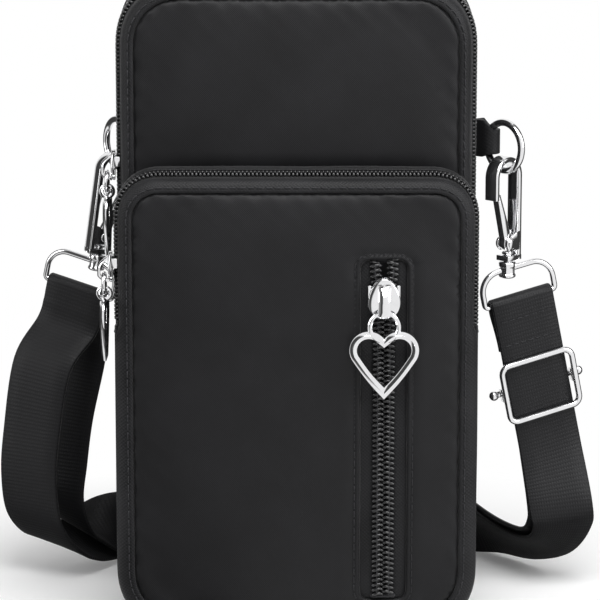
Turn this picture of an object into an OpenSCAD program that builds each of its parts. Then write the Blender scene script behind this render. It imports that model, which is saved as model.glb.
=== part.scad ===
// Phone pouch with two zipped compartments, a zipped front pocket and a clip-on shoulder strap.
// Millimetres. X runs across the bag, Y into the picture (the front faces -Y), Z up.
// The origin is the centre of the bag's flat base.

/* [Bag] */
// Width of the bag across its zips
bag_w = 105; // [96:1:116]
// Height of the main compartment
main_h = 189; // [176:1:205]
// Depth of the main compartment's gusset
main_d = 30; // [27:1:38]
// Height of the front compartment
front_h = 136; // [128:1:142]
// Depth of the front compartment's gusset
front_d = 19; // [18:1:26]
// Outer corner radius of the main compartment and of the base
corner_r = 20; // [14:1:24]
// Outer corner radius at the top of the front compartment
front_corner_r = 14; // [10:1:18]
// Thickness of the padded fabric
fabric_t = 1.2; // [0.8:0.1:1.6]
// Distance from the silhouette in to the seams of the front panels
seam_inset = 5.5; // [4.5:0.5:7]
// How far the back and upper panels bulge
panel_crown = 3; // [1:0.5:4]
// How far the front panel bulges
front_crown = 3.2; // [1:0.2:4]
// Thickness of the lining sheets
lining_t = 0.5; // [0.3:0.1:0.8]

/* [Zips] */
// Width of one half of a side zip's coil
coil_w = 1.7; // [1.2:0.1:2]
// Thickness of a coil
coil_t = 1.6; // [1.2:0.1:2]
// Thickness of a zip tape
tape_t = 0.6; // [0.4:0.1:0.8]
// Gap between the two halves of a coil, where the slider's post runs
coil_gap = 1.1; // [1:0.1:1.4]
// Height above the base where both side zips end
zip_end_z = 90; // [80:1:100]
// Width of one half of the pocket zip's coil
pocket_coil_w = 2.9; // [2.2:0.1:3.2]
// Place of the pocket zip to the right of the bag's middle
pocket_x = 25; // [18:1:28]
// Width of the pocket's window
window_w = 13.2; // [12:0.2:16]
// Height of the window's lower end above the base
window_z0 = 11; // [9:0.5:20]
// Height of the window's upper end above the base
window_z1 = 111.5; // [104:0.5:114]

/* [Metal] */
// Outer length of a zip slider
slider_l = 9; // [8:0.5:10]
// Outer length of the pocket's zip slider
pocket_slider_l = 12; // [11:0.5:13]
// Width of a heart pull
heart_w = 20; // [16:0.5:20]
// Width of the band that a heart is bent from
heart_band = 2.3; // [1.8:0.1:2.8]
// Thickness of a heart pull
heart_t = 2; // [1.6:0.1:2.2]
// Wire radius of the side rings
ring_wire_r = 1.1; // [0.9:0.05:1.2]
// Radius of the side rings at the middle of the wire
ring_r = 7.2; // [6.8:0.1:7.8]
// Height of a snap hook above its swivel
hook_h = 31.5; // [30.5:0.5:32.5]
// Outer width of a snap hook
hook_w = 12; // [11.6:0.1:12.6]
// Depth of a snap hook's strip
hook_d = 4.6; // [4.4:0.1:5]
// Thickness of a snap hook's strip
hook_t = 1.6; // [1.4:0.1:1.8]
// Wire radius of the strap loops
loop_wire_r = 0.9; // [0.8:0.05:1]
// Outer width of the strap adjuster
adjuster_w = 25; // [24.4:0.2:26]
// Outer height of the strap adjuster
adjuster_h = 19.5; // [17:0.5:21]
// Wire radius of the strap adjuster
adjuster_wire_r = 0.95; // [0.8:0.05:1]

/* [Strap] */
// Width of the webbing
web_w = 20; // [18:0.5:20]
// Thickness of the webbing
web_t = 1.2; // [1:0.1:1.4]
// Height of the fabric tabs that hold the rings
tab_h = 11; // [8:0.5:11]

/* [Hidden] */
$fn = 48;

// Clearances: between bodies that move, between pieces of one body, and in a running fit
move_gap = 0.3;
seam_gap = 0.05;
run_gap = 0.05;
corner_gap = 3 * seam_gap;
// Overrun of every cut
over = 1;
// Places along Y: the back seam, the main front seam and the front panel's seam
back_y = 25;
main_y = back_y - main_d;
front_y = main_y - front_d;
// The coils run this share of each gusset's depth behind its front seam
main_coil_share = 0.3;
front_coil_share = 0.38;
main_coil_y = main_y + main_d * main_coil_share;
front_coil_y = front_y + front_d * front_coil_share;
// Gusset edges stand back from the coil's middle so that the slider can pass
slider_room = 4;
// The folds where the two flaps turn: above the front compartment, and above the pocket's window
main_fold_rise = 4;
front_fold_rise = 6.5;
main_fold_z = front_h + main_fold_rise;
front_fold_z = window_z1 + front_fold_rise;
// The outer face of the gussets stands back from the coils
gusset_inset = 0.3;
tape_inset = coil_t;
// Shares of a panel's outline at which its mesh has rings
ring_shares = [0.3, 0.55, 0.7, 0.8, 0.88, 0.94, 1];
// The bulge falls away to the seams with this power
crown_power = 6;
corner_steps = 8;
// Smallest corner radius of an outline
min_r = 1;
front_panel_h = front_h - 2 * seam_inset;
front_mid_z = front_h / 2;
// The divider between the two compartments, and how far the seam of the front gusset laps over it
divider_y = main_y - fabric_t / 2;
divider_lap = 1;
// Colours
cloth = [0.06, 0.06, 0.065];
cloth_dark = [0.035, 0.035, 0.04];
chrome = [0.82, 0.82, 0.84];

// A quarter of an outline's corner, as points of X and Z
function corner(cx, cz, r, a0) =
    [for (i = [0:corner_steps]) let (a = a0 + 90 * i / corner_steps) [cx + r * cos(a), cz + r * sin(a)]];

// The outline of a panel of width w from z0 to z1, with its own radius at the top and at the base
function outline_points(w, z0, z1, r_top, r_base) =
    concat(corner(w / 2 - r_top, z1 - r_top, r_top, 0),
           corner(-w / 2 + r_top, z1 - r_top, r_top, 90),
           corner(-w / 2 + r_base, z0 + r_base, r_base, 180),
           corner(w / 2 - r_base, z0 + r_base, r_base, 270));

function inset_outline(inset, h, r_top) =
    outline_points(bag_w - 2 * inset, inset - gusset_inset, h - inset,
                   max(r_top - inset, min_r), max(corner_r - inset, min_r));

// How far a crowned panel stands out at a place, as a share of its crown
function crown_share(x, z, half_w, half_h, mid_z) =
    max(0, 1 - pow(abs(x) / half_w, crown_power) - pow(abs(z - mid_z) / half_h, crown_power));

function front_face_y(x, z) =
    front_y - front_crown * crown_share(x, z, bag_w / 2 - seam_inset, front_panel_h / 2, front_mid_z);

// Turns a point by a tilt about Y and then a yaw about Z, and moves it
function placed(place, tilt, yaw, p) =
    let (x1 = p[0] * cos(tilt) + p[2] * sin(tilt), z1 = -p[0] * sin(tilt) + p[2] * cos(tilt))
    [place[0] + x1 * cos(yaw) - p[1] * sin(yaw), place[1] + x1 * sin(yaw) + p[1] * cos(yaw), place[2] + z1];

function turned(tilt, yaw, v) = placed([0, 0, 0], tilt, yaw, v);
function unit(v) = v / norm(v);

// Exact rounded outline, drawn in X and Z
module outline(inset, h, r_top) {
    w = bag_w - 2 * inset;
    rt = max(r_top - inset, min_r);
    rb = max(corner_r - inset, min_r);
    z0 = inset - gusset_inset;
    z1 = h - inset;
    for (side = [-1, 1]) {
        translate([side * (w / 2 - rt), z1 - rt]) circle(rt);
        translate([side * (w / 2 - rb), z0 + rb]) circle(rb);
    }
    translate([-w / 2 + rb, z0]) square([w - 2 * rb, z1 - z0 - rt]);
    translate([-w / 2, z0 + rb]) square([w, z1 - z0 - rt - rb]);
    translate([-w / 2 + rt, z0 + rb]) square([w - 2 * rt, z1 - z0 - rb]);
}

// Stands a flat shape up between two places along Y
module slab(y0, y1) {
    translate([0, y1, 0]) rotate([90, 0, 0]) linear_extrude(y1 - y0) children();
}

// A band round the bag between two insets and two places along Y
module band(h, r_top, inset, t, y0, y1) {
    slab(y0, y1) difference() {
        outline(inset, h, r_top);
        outline(inset + t, h, r_top);
    }
}

// A band whose section is a closed polygon of [y, inset] points
module lofted_band(h, r_top, section) {
    rings = [for (s = section) [for (p = inset_outline(s[1], h, r_top)) [p[0], s[0], p[1]]]];
    m = len(section);
    n = len(rings[0]);
    polyhedron(points = [for (ring = rings) for (p = ring) p],
               faces = [for (i = [0:m - 1]) for (j = [0:n - 1])
                        let (a = i * n + j, b = i * n + (j + 1) % n,
                             c = ((i + 1) % m) * n + (j + 1) % n, d = ((i + 1) % m) * n + j)
                        [d, c, b, a]]);
}

// A crowned panel: dir is -1 where it bulges to the front and 1 where it bulges to the back
module crowned_panel(h, r_top, inset, seam_y, dir, crown, t) {
    mid = h / 2;
    edge = inset_outline(inset, h, r_top);
    n = len(edge);
    half_w = bag_w / 2 - inset;
    half_h = h / 2 - inset;
    ring_xz = [for (s = ring_shares) for (p = edge) [p[0] * s, mid + (p[1] - mid) * s]];
    face = [for (q = ring_xz)
            [q[0], seam_y + dir * crown * crown_share(q[0], q[1], half_w, half_h, mid), q[1]]];
    back = [for (p = face) [p[0], p[1] - dir * t, p[2]]];
    m = len(ring_shares);
    k = m * n;
    top = [0, seam_y + dir * crown, mid];
    pts = concat(face, back, [top, top - [0, dir * t, 0]]);
    rings_out = [for (i = [0:m - 2]) for (j = [0:n - 1])
                 let (a = i * n + j, b = i * n + (j + 1) % n, c = b + n, d = a + n) [a, b, c, d]];
    rings_in = [for (f = rings_out) [f[3] + k, f[2] + k, f[1] + k, f[0] + k]];
    fan_out = [for (j = [0:n - 1]) [2 * k, (j + 1) % n, j]];
    fan_in = [for (j = [0:n - 1]) [2 * k + 1, k + j, k + (j + 1) % n]];
    rim = [for (j = [0:n - 1])
           let (a = (m - 1) * n + j, b = (m - 1) * n + (j + 1) % n) [a, b, b + k, a + k]];
    all_faces = concat(rings_out, rings_in, fan_out, fan_in, rim);
    flipped = [for (f = all_faces) [for (i = [len(f) - 1:-1:0]) f[i]]];
    polyhedron(points = pts, faces = dir < 0 ? all_faces : flipped);
}

// A strip that follows the front panel's bulge, between two distances behind its face
module front_strip(x0, x1, z0, z1, off0, off1) {
    nx = 3;
    nz = 14;
    grid = [for (off = [off0, off1]) for (i = [0:nx]) for (j = [0:nz])
            let (x = x0 + (x1 - x0) * i / nx, z = z0 + (z1 - z0) * j / nz)
            [x, front_face_y(x, z) + off, z]];
    s = nz + 1;
    k = (nx + 1) * s;
    front = [for (i = [0:nx - 1]) for (j = [0:nz - 1]) let (a = i * s + j) [a, a + 1, a + s + 1, a + s]];
    rear = [for (f = front) [f[3] + k, f[2] + k, f[1] + k, f[0] + k]];
    ends = [for (i = [0:nx - 1]) let (a = i * s) [a, a + s, a + s + k, a + k]];
    tops = [for (i = [0:nx - 1]) let (a = i * s + nz) [a + s, a, a + k, a + s + k]];
    side0 = [for (j = [0:nz - 1]) [j + 1, j, j + k, j + 1 + k]];
    side1 = [for (j = [0:nz - 1]) let (a = nx * s + j) [a, a + 1, a + 1 + k, a + k]];
    polyhedron(points = grid, faces = concat(front, rear, ends, tops, side0, side1));
}

// Keeps what lies between two heights
module between(z0, z1) {
    intersection() {
        children();
        translate([-bag_w, back_y - 3 * main_d, z0]) cube([2 * bag_w, 6 * main_d, z1 - z0]);
    }
}

// Bag fabric

module back_panel() {
    color(cloth)
    crowned_panel(main_h, corner_r, gusset_inset + fabric_t + seam_gap, back_y, 1, panel_crown, fabric_t);
}

module main_gusset() {
    color(cloth)
    band(main_h, corner_r, gusset_inset, fabric_t, main_coil_y + slider_room, back_y - seam_gap - fabric_t);
}

module rear_piping() {
    color(cloth_dark)
    band(main_h, corner_r, gusset_inset, fabric_t, back_y - fabric_t, back_y + fabric_t / 2);
}

// Section of a gusset's front half: it slopes from the zip in to the panel's seam
function slope_section(coil_y, seam_y) =
    [[coil_y - slider_room, gusset_inset], [seam_y + fabric_t, seam_inset - fabric_t],
     [seam_y, seam_inset - corner_gap], [seam_y + fabric_t, seam_inset - corner_gap],
     [coil_y - slider_room, gusset_inset + fabric_t]];

// Section of the front gusset's rear half: it turns in to its seam on the divider
function rear_section() =
    let (y0 = front_coil_y + slider_room, y1 = divider_y - seam_gap, bend = y1 - seam_inset / 2)
    [[y0, gusset_inset], [y0, gusset_inset + fabric_t], [bend, gusset_inset + fabric_t],
     [y1, seam_inset + divider_lap], [y1, seam_inset - fabric_t], [bend, gusset_inset]];

module main_slope() {
    lofted_band(main_h, corner_r, slope_section(main_coil_y, main_y));
}

module front_slope() {
    lofted_band(front_h, front_corner_r, slope_section(front_coil_y, front_y));
}

module upper_gusset() {
    color(cloth) between(main_fold_z + move_gap / 2, main_h + over) main_slope();
}

module lower_main_gusset() {
    color(cloth) between(0, main_fold_z - move_gap / 2) main_slope();
}

module front_gusset_top() {
    color(cloth) between(front_fold_z + move_gap / 2, front_h + over) front_slope();
}

module lower_front_gusset() {
    color(cloth) between(0, front_fold_z - move_gap / 2) front_slope();
}

module front_gusset() {
    color(cloth)
    lofted_band(front_h, front_corner_r, rear_section());
}

module upper_front_panel() {
    color(cloth)
    between(main_fold_z + move_gap / 2, main_h + over)
    crowned_panel(main_h, corner_r, seam_inset, main_y, -1, panel_crown, fabric_t);
}

module divider_panel() {
    color(cloth_dark)
    between(0, main_fold_z - move_gap / 2)
    slab(divider_y, divider_y + fabric_t) outline(seam_inset, main_h, corner_r);
}

// The pocket's window with its rounded ends
window_r = window_w / 6;

module pocket_window() {
    h = window_z1 - window_z0;
    slab(front_y - 3 * front_crown, front_y + front_d / 4) {
        for (side = [-1, 1])
            for (z = [window_z0 + window_r, window_z1 - window_r])
                translate([pocket_x + side * (window_w / 2 - window_r), z]) circle(window_r);
        translate([pocket_x - window_w / 2 + window_r, window_z0]) square([window_w - 2 * window_r, h]);
        translate([pocket_x - window_w / 2, window_z0 + window_r]) square([window_w, h - 2 * window_r]);
    }
}

module front_shell() {
    crowned_panel(front_h, front_corner_r, seam_inset, front_y, -1, front_crown, fabric_t);
}

module front_panel() {
    color(cloth)
    difference() {
        between(0, front_fold_z - move_gap / 2) front_shell();
        pocket_window();
    }
}

module front_panel_top() {
    color(cloth) between(front_fold_z + move_gap / 2, front_h + over) front_shell();
}

// Linings and inner pockets

lining_gap = 0.3;
lining_y = back_y - fabric_t - lining_gap;

module main_lining() {
    color([0.12, 0.12, 0.13])
    slab(lining_y - lining_t, lining_y) outline(gusset_inset + fabric_t + lining_gap, main_h, corner_r);
}

// Card pockets on the divider's rear face, and how high they reach
card_w = 72;
card_h = 58;
card_z = 22;
card_step = 9;

module card_pocket() {
    color([0.1, 0.1, 0.11])
    for (i = [0:1])
        translate([-card_w / 2, divider_y + fabric_t + seam_gap + i * (lining_t + seam_gap), card_z])
            cube([card_w, lining_t, card_h - i * card_step]);
}

// The pocket's lining hangs behind the zip, sewn to the outer edges of the tape
lining_deep = 2.6;
lining_reach = 2.6 * window_w;

module pocket_lining() {
    z0 = window_z0;
    z1 = window_z1 + lining_t;
    tape_back = fabric_t + tape_t + tape_gap + seam_gap;
    edge = window_w / 2 + tape_lap - lining_t;
    color([0.1, 0.1, 0.11]) {
        front_strip(pocket_x - lining_reach, pocket_x + window_w, z0, z1,
                    tape_back + lining_deep, tape_back + lining_deep + lining_t);
        for (side = [-1, 1]) {
            x = pocket_x + side * edge;
            front_strip(x - lining_t / 2, x + lining_t / 2, z0, z1, tape_back, tape_back + lining_deep);
        }
    }
}

// Zips

// One half of a side zip's tape: side is -1 for the front half and 1 for the rear half
module half_tape(h, r_top, coil_y, side) {
    y0 = coil_y + side * coil_gap / 2;
    y1 = coil_y + side * (slider_room - seam_gap);
    band(h, r_top, tape_inset, tape_t, min(y0, y1), max(y0, y1));
}

module half_coil(h, r_top, coil_y, side) {
    y0 = coil_y + side * coil_gap / 2;
    y1 = coil_y + side * (coil_gap / 2 + coil_w);
    band(h, r_top, 0, coil_t - seam_gap, min(y0, y1), max(y0, y1));
}

module main_zip_tape() {
    color(cloth_dark) {
        between(zip_end_z, main_h + over) half_tape(main_h, corner_r, main_coil_y, 1);
        between(zip_end_z, main_fold_z - move_gap / 2) half_tape(main_h, corner_r, main_coil_y, -1);
        between(0, zip_end_z - seam_gap)
            band(main_h, corner_r, gusset_inset, fabric_t,
                 main_coil_y - slider_room + seam_gap, main_coil_y + slider_room - seam_gap);
    }
}

module main_zip_coil() {
    color(cloth_dark) {
        between(zip_end_z, main_h + over) half_coil(main_h, corner_r, main_coil_y, 1);
        between(zip_end_z, main_fold_z - move_gap / 2) half_coil(main_h, corner_r, main_coil_y, -1);
    }
}

module upper_zip_tape() {
    color(cloth_dark)
    between(main_fold_z + move_gap / 2, main_h + over) half_tape(main_h, corner_r, main_coil_y, -1);
}

module upper_zip_coil() {
    color(cloth_dark)
    between(main_fold_z + move_gap / 2, main_h + over) half_coil(main_h, corner_r, main_coil_y, -1);
}

module front_zip_tape() {
    color(cloth_dark) {
        between(zip_end_z, front_h + over) half_tape(front_h, front_corner_r, front_coil_y, 1);
        between(zip_end_z, front_fold_z - move_gap / 2) half_tape(front_h, front_corner_r, front_coil_y, -1);
        between(0, zip_end_z - seam_gap)
            band(front_h, front_corner_r, gusset_inset, fabric_t,
                 front_coil_y - slider_room + seam_gap, front_coil_y + slider_room - seam_gap);
    }
}

module front_zip_coil() {
    color(cloth_dark) {
        between(zip_end_z, front_h + over) half_coil(front_h, front_corner_r, front_coil_y, 1);
        between(zip_end_z, front_fold_z - move_gap / 2) half_coil(front_h, front_corner_r, front_coil_y, -1);
    }
}

module front_zip_tape_top() {
    color(cloth_dark)
    between(front_fold_z + move_gap / 2, front_h + over)
        half_tape(front_h, front_corner_r, front_coil_y, -1);
}

module front_zip_coil_top() {
    color(cloth_dark)
    between(front_fold_z + move_gap / 2, front_h + over)
        half_coil(front_h, front_corner_r, front_coil_y, -1);
}

// The pocket's zip lies behind the window and follows the panel
tape_lap = 2.5;
pocket_zip_z0 = window_z0 + 1.5;
pocket_zip_z1 = window_z1 - 1.5;
// The tape lies this far behind the panel's rear face
tape_gap = 5 * seam_gap;

module pocket_zip_tape() {
    color(cloth_dark)
    for (side = [-1, 1]) {
        x_in = pocket_x + side * coil_gap / 2;
        x_out = pocket_x + side * (window_w / 2 + tape_lap);
        front_strip(min(x_in, x_out), max(x_in, x_out), window_z0 - tape_lap / 2, window_z1 + tape_lap / 2,
                    fabric_t + tape_gap, fabric_t + tape_gap + tape_t);
    }
}

module pocket_coil(side) {
    x_in = pocket_x + side * coil_gap / 2;
    x_out = pocket_x + side * (coil_gap / 2 + pocket_coil_w);
    color(cloth_dark)
    front_strip(min(x_in, x_out), max(x_in, x_out), pocket_zip_z0, pocket_zip_z1,
                fabric_t - coil_t, fabric_t);
}

module pocket_coil_left() {
    pocket_coil(-1);
}

module pocket_coil_right() {
    pocket_coil(1);
}

// End stops: one across each end of the pocket's coils, and one below each side slider
stop_h = 1.4;
// Thin enough for the hanging pulls to slide past
stop_t = 0.3;
stop_x = bag_w / 2 - gusset_inset + seam_gap + stop_t / 2;

module zip_stops() {
    color(chrome) {
        for (z = [pocket_zip_z0 - stop_h - seam_gap, pocket_zip_z1 + seam_gap])
            front_strip(pocket_x - pocket_coil_w, pocket_x + pocket_coil_w, z, z + stop_h,
                        fabric_t - coil_t / 2, fabric_t);
        for (y = [main_coil_y, front_coil_y])
            for (side = [-1, 1])
                translate([side * stop_x - stop_t / 2, y - coil_w, zip_end_z - stop_h - seam_gap])
                    cube([stop_t, 2 * coil_w, stop_h]);
    }
}

// Slider in its own frame: the coil's outer face is y = 0, the outside is -Y and it runs along Z
plate_t = 1.2;
inner_plate_t = 1;
post_w = coil_gap - 2 * move_gap;
bail_hole_h = 2.4;
bail_t = 0.8;
bail_w = 2.2;
// The pull's wire, and where it lies in the slider's bail
pull_wire_r = 0.8;
pull_y = -move_gap - plate_t - bail_hole_h / 2;

function pull_z(length) = -length / 2 + bail_t + move_gap + pull_wire_r + pull_wire_r / 2;

// Shares of a slider's plate: its nose, and the bail's length
nose_share = 0.62;
bail_share = 0.75;
// How deep one piece of a slider sinks into the next
bite = 0.1;
// The pocket's slider has more play behind the tape, because the panel bulges
pocket_play = 3 * move_gap;

module slider(length, half_coil_w, play) {
    flange_x = coil_gap / 2 + half_coil_w + move_gap;
    half_w = flange_x + bail_t;
    nose_r = half_w * nose_share;
    inner_y = coil_t + tape_t + play;
    bail_l = length * bail_share;
    color(chrome) {
        translate([0, -move_gap, 0]) rotate([90, 0, 0]) linear_extrude(plate_t) hull() {
            translate([0, length / 2 - half_w]) circle(half_w, $fn = 32);
            translate([0, -length / 2 + nose_r]) circle(nose_r, $fn = 32);
        }
        for (side = [-1, 1])
            translate([side * (flange_x + bail_t / 2) - bail_t / 2, -move_gap - bite, 0])
                cube([bail_t, coil_t + bite, length / 2 - half_w / 2]);
        translate([-post_w / 2, -move_gap - bite, 0])
            cube([post_w, inner_y + move_gap + 2 * bite, length / 4]);
        translate([-nose_r, inner_y, -length / 3])
            cube([2 * nose_r, inner_plate_t, 2 * length / 3]);
        translate([-bail_w / 2, -move_gap - plate_t - bail_hole_h - bail_t, -length / 2])
        difference() {
            cube([bail_w, bail_hole_h + bail_t + bite, bail_l]);
            translate([-over, bail_t, bail_t])
                cube([bail_w + 2 * over, bail_hole_h + over, bail_l - 2 * bail_t]);
        }
    }
}

// Heart shape, drawn in X and Y with its lobes' centres on the X axis
lobe_share = 0.28;
tip_share = 0.72;
notch_share = 0.75;

// Angle of a heart's straight side from the vertical
function side_lean(cx, tip, r) = atan2(cx, tip) + asin(r / norm([cx, tip]));

module heart_shape(w, shrink) {
    lobe = w * lobe_share;
    cx = w / 2 - lobe;
    r = lobe - shrink;
    tip = w * tip_share - shrink / sin(side_lean(cx, w * tip_share, lobe));
    lean = side_lean(cx, tip, r);
    touch = [cx + r * cos(lean), -r * sin(lean)];
    notch = r * notch_share - shrink / 2;
    for (side = [-1, 1]) translate([side * cx, 0]) circle(r);
    polygon([[0, -tip], touch, [cx, 0], [0, notch], [-cx, 0], [-touch[0], touch[1]]]);
}

module heart_band() {
    rotate([90, 0, 0]) translate([0, 0, -heart_t / 2]) linear_extrude(heart_t) difference() {
        heart_shape(heart_w, 0);
        heart_shape(heart_w, heart_band);
    }
}

module wire_ring(r, wire_r) {
    rotate([90, 0, 0]) rotate_extrude() translate([r, 0]) circle(wire_r, $fn = 24);
}

// Neck ring of the pocket's heart, and the heart's lobes below it
neck_r = 3.4;
lobe_drop = heart_w / 5;

module hanging_heart() {
    wire_z = -2 * neck_r;
    color(chrome) {
        translate([0, 0, -neck_r]) wire_ring(neck_r, pull_wire_r);
        translate([0, 0, wire_z - lobe_drop]) heart_band();
    }
}

// Side pulls hang on a small link and a bail that is turned square to it
link_r = 2.8;
bail_r = 1.7;
link_wire_r = 0.65;

module pull_link() {
    color(chrome) translate([0, 0, -link_r]) wire_ring(link_r, link_wire_r);
}

module linked_heart() {
    top_z = -2 * link_r + 2 * link_wire_r + move_gap;
    color(chrome) {
        translate([0, 0, top_z - bail_r]) rotate([0, 0, 90]) wire_ring(bail_r, link_wire_r);
        translate([0, 0, top_z - 2 * bail_r - lobe_drop]) heart_band();
    }
}

// Rest heights of the sliders: below the flaps' folds, and below the window's upper end
main_slider_drop = 6;
front_slider_drop = 10;
pocket_slider_drop = 10.7;
main_slider_z = main_fold_z - main_slider_drop;
front_slider_z = front_fold_z - front_slider_drop;
pocket_slider_z = window_z1 - pocket_slider_drop;

module at_side(coil_y, z) {
    translate([-bag_w / 2, coil_y, z]) rotate([0, 0, -90]) children();
}

module at_pull(length) {
    translate([0, pull_y, pull_z(length)]) children();
}

module at_pocket() {
    translate([pocket_x, front_y - front_crown + fabric_t - coil_t, pocket_slider_z]) children();
}

module main_slider() {
    at_side(main_coil_y, main_slider_z) slider(slider_l, coil_w, move_gap);
}

module main_pull_link() {
    at_side(main_coil_y, main_slider_z) at_pull(slider_l) pull_link();
}

module main_heart_pull() {
    at_side(main_coil_y, main_slider_z) at_pull(slider_l) linked_heart();
}

module front_slider() {
    at_side(front_coil_y, front_slider_z) slider(slider_l, coil_w, move_gap);
}

module front_pull_link() {
    at_side(front_coil_y, front_slider_z) at_pull(slider_l) pull_link();
}

module front_heart_pull() {
    at_side(front_coil_y, front_slider_z) at_pull(slider_l) linked_heart();
}

module pocket_slider() {
    at_pocket() slider(pocket_slider_l, pocket_coil_w, pocket_play);
}

module pocket_heart_pull() {
    at_pocket() at_pull(pocket_slider_l) hanging_heart();
}

// Ring tabs: a fabric loop that the ring's wire runs through
tab_bore_r = 2.2;
tab_r = tab_bore_r + web_t;
// The loop is lower than the tab's root, so that it clears the hook: its foot below the ring's middle
tab_foot = 2.7;
tab_loop_h = 7.2;
// The tab's root reaches this far up past the ring's middle
tab_rise = 2;
tab_z = 137;
left_tab_z = 135.3;
// Where each tab's loop is centred, off the bag's back corners, and which way its ring's centre lies
right_tab_at = [bag_w / 2 + 4.6, back_y - 2.4];
left_tab_at = [-bag_w / 2 + 2.4, back_y + 4.3];
right_ring_yaw = -49;
left_ring_yaw = 122;
// The wire lies on the bag's side of the loop's bore
wire_shift = 0.8;

module tab(at, z, root) {
    color(cloth_dark) {
        translate([0, 0, z - tab_foot]) linear_extrude(tab_loop_h) difference() {
            translate(at) circle(tab_r);
            translate(at) circle(tab_bore_r);
        }
        translate([0, 0, z - tab_h / 2 + tab_rise]) linear_extrude(tab_h) difference() {
            translate([min(root[0], root[2]), min(root[1], root[3])])
                square([abs(root[2] - root[0]), abs(root[3] - root[1])]);
            translate(at) circle(tab_r - web_t / 2);
        }
    }
}

module right_tab() {
    edge = bag_w / 2 - gusset_inset + seam_gap;
    tab(right_tab_at, tab_z,
        [edge, right_tab_at[1] - web_t, right_tab_at[0] - tab_bore_r, right_tab_at[1] + web_t]);
}

module left_tab() {
    edge = back_y + fabric_t / 2 + seam_gap;
    tab(left_tab_at, left_tab_z,
        [left_tab_at[0] - web_t, edge, left_tab_at[0] + web_t, left_tab_at[1] - tab_bore_r]);
}

function ring_wire_at(at, yaw) = [at[0] - wire_shift * cos(yaw), at[1] - wire_shift * sin(yaw)];
function ring_centre(at, yaw, z) =
    let (p = ring_wire_at(at, yaw)) [p[0] + ring_r * cos(yaw), p[1] + ring_r * sin(yaw), z];

right_ring_at = ring_centre(right_tab_at, right_ring_yaw, tab_z);
left_ring_at = ring_centre(left_tab_at, left_ring_yaw, left_tab_z);

module left_ring() {
    color(chrome) translate(left_ring_at) rotate([0, 0, left_ring_yaw]) wire_ring(ring_r, ring_wire_r);
}

module right_ring() {
    color(chrome) translate(right_ring_at) rotate([0, 0, right_ring_yaw]) wire_ring(ring_r, ring_wire_r);
}

// Snap hook in its own frame: X across the hook, Z up from its base on the swivel's axis, the spine on
// the -X side
bow_r = hook_w / 2;
// The spine's outer face and the bow's middle stand this far off the swivel's axis
spine_x = 3.9;
bow_x = bow_r - spine_x;
bow_z = hook_h - bow_r;
tip_z = hook_h * 0.6;
cheek_t = 0.8;
cheek_h = 6;
pin_r = 1;
pin_x = 0.8;
pin_z = 5.2;
post_r = 1.2;
post_head_r = 1.7;
post_head_t = 0.8;
base_t = 1.6;
cheek_z = base_t + post_head_t + 2 * move_gap;
gate_t = 1.5;
gate_x = bow_x + bow_r - hook_t - move_gap - gate_t / 2;
gate_z = tip_z + 1.5;

module hook() {
    color(chrome)
    difference() {
        union() {
            rotate([90, 0, 0]) translate([0, 0, -hook_d / 2]) linear_extrude(hook_d) {
                difference() {
                    translate([bow_x, bow_z]) circle(bow_r);
                    translate([bow_x, bow_z]) circle(bow_r - hook_t);
                    translate([-hook_w, bow_z - hook_w]) square([3 * hook_w, hook_w]);
                }
                translate([-spine_x, 0]) square([hook_t, bow_z]);
                translate([bow_x + bow_r - hook_t, tip_z]) square([hook_t, bow_z - tip_z]);
                translate([-spine_x, 0]) square([spine_x + 2 * post_r, base_t]);
            }
            for (side = [-1, 1])
                translate([-spine_x + hook_t / 2, side * (hook_d / 2 - cheek_t / 2) - cheek_t / 2, cheek_z])
                    cube([spine_x + pin_x + 2 * pin_r - hook_t / 2, cheek_t, cheek_h]);
        }
        translate([0, 0, -over]) cylinder(r = post_r + run_gap, h = base_t + 2 * over);
        translate([pin_x, hook_d, pin_z]) rotate([90, 0, 0]) cylinder(r = pin_r, h = 2 * hook_d);
    }
}

module gate() {
    depth = hook_d - 2 * cheek_t - 2 * move_gap;
    lean = atan2(gate_x - pin_x, gate_z - pin_z);
    reach = norm([gate_x - pin_x, gate_z - pin_z]);
    color(chrome)
    difference() {
        union() {
            translate([pin_x, depth / 2, pin_z]) rotate([90, 0, 0]) cylinder(r = 2 * pin_r, h = depth);
            translate([pin_x, 0, pin_z]) rotate([0, lean, 0]) translate([-gate_t / 2, -depth / 2, 0])
                cube([gate_t, depth, reach]);
        }
        translate([pin_x, hook_d, pin_z]) rotate([90, 0, 0]) cylinder(r = pin_r + run_gap, h = 2 * hook_d);
    }
}

module gate_pin() {
    head_t = 0.4;
    color(chrome) {
        translate([pin_x, hook_d / 2 + head_t, pin_z])
            rotate([90, 0, 0]) cylinder(r = pin_r, h = hook_d + 2 * head_t);
        for (side = [-1, 1])
            translate([pin_x, side * (hook_d / 2 + head_t / 2 + seam_gap) + head_t / 2, pin_z])
                rotate([90, 0, 0]) cylinder(r = 1.4 * pin_r, h = head_t);
    }
}

// A leaf spring that lies along the spine and kicks in towards the gate
spring_t = 0.3;
kick = 8;

module gate_spring() {
    x0 = -spine_x + hook_t + seam_gap;
    z0 = cheek_z + cheek_h;
    leaf_w = hook_d / 3;
    leaf_h = hook_d;
    color([0.6, 0.6, 0.62]) {
        translate([x0, -leaf_w / 2, z0]) cube([spring_t, leaf_w, leaf_h]);
        translate([x0 + spring_t, 0, z0]) rotate([0, kick, 0]) translate([-spring_t, -leaf_w / 2, 0])
            cube([spring_t, leaf_w, leaf_h]);
    }
}

// Swivel under the hook: a post with a head, and an eye that the strap loop's wire runs through
eye_h = 5;
eye_w = 5.2;
eye_z = -move_gap - eye_h / 2;
eye_bore_r = loop_wire_r + 0.35;

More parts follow.
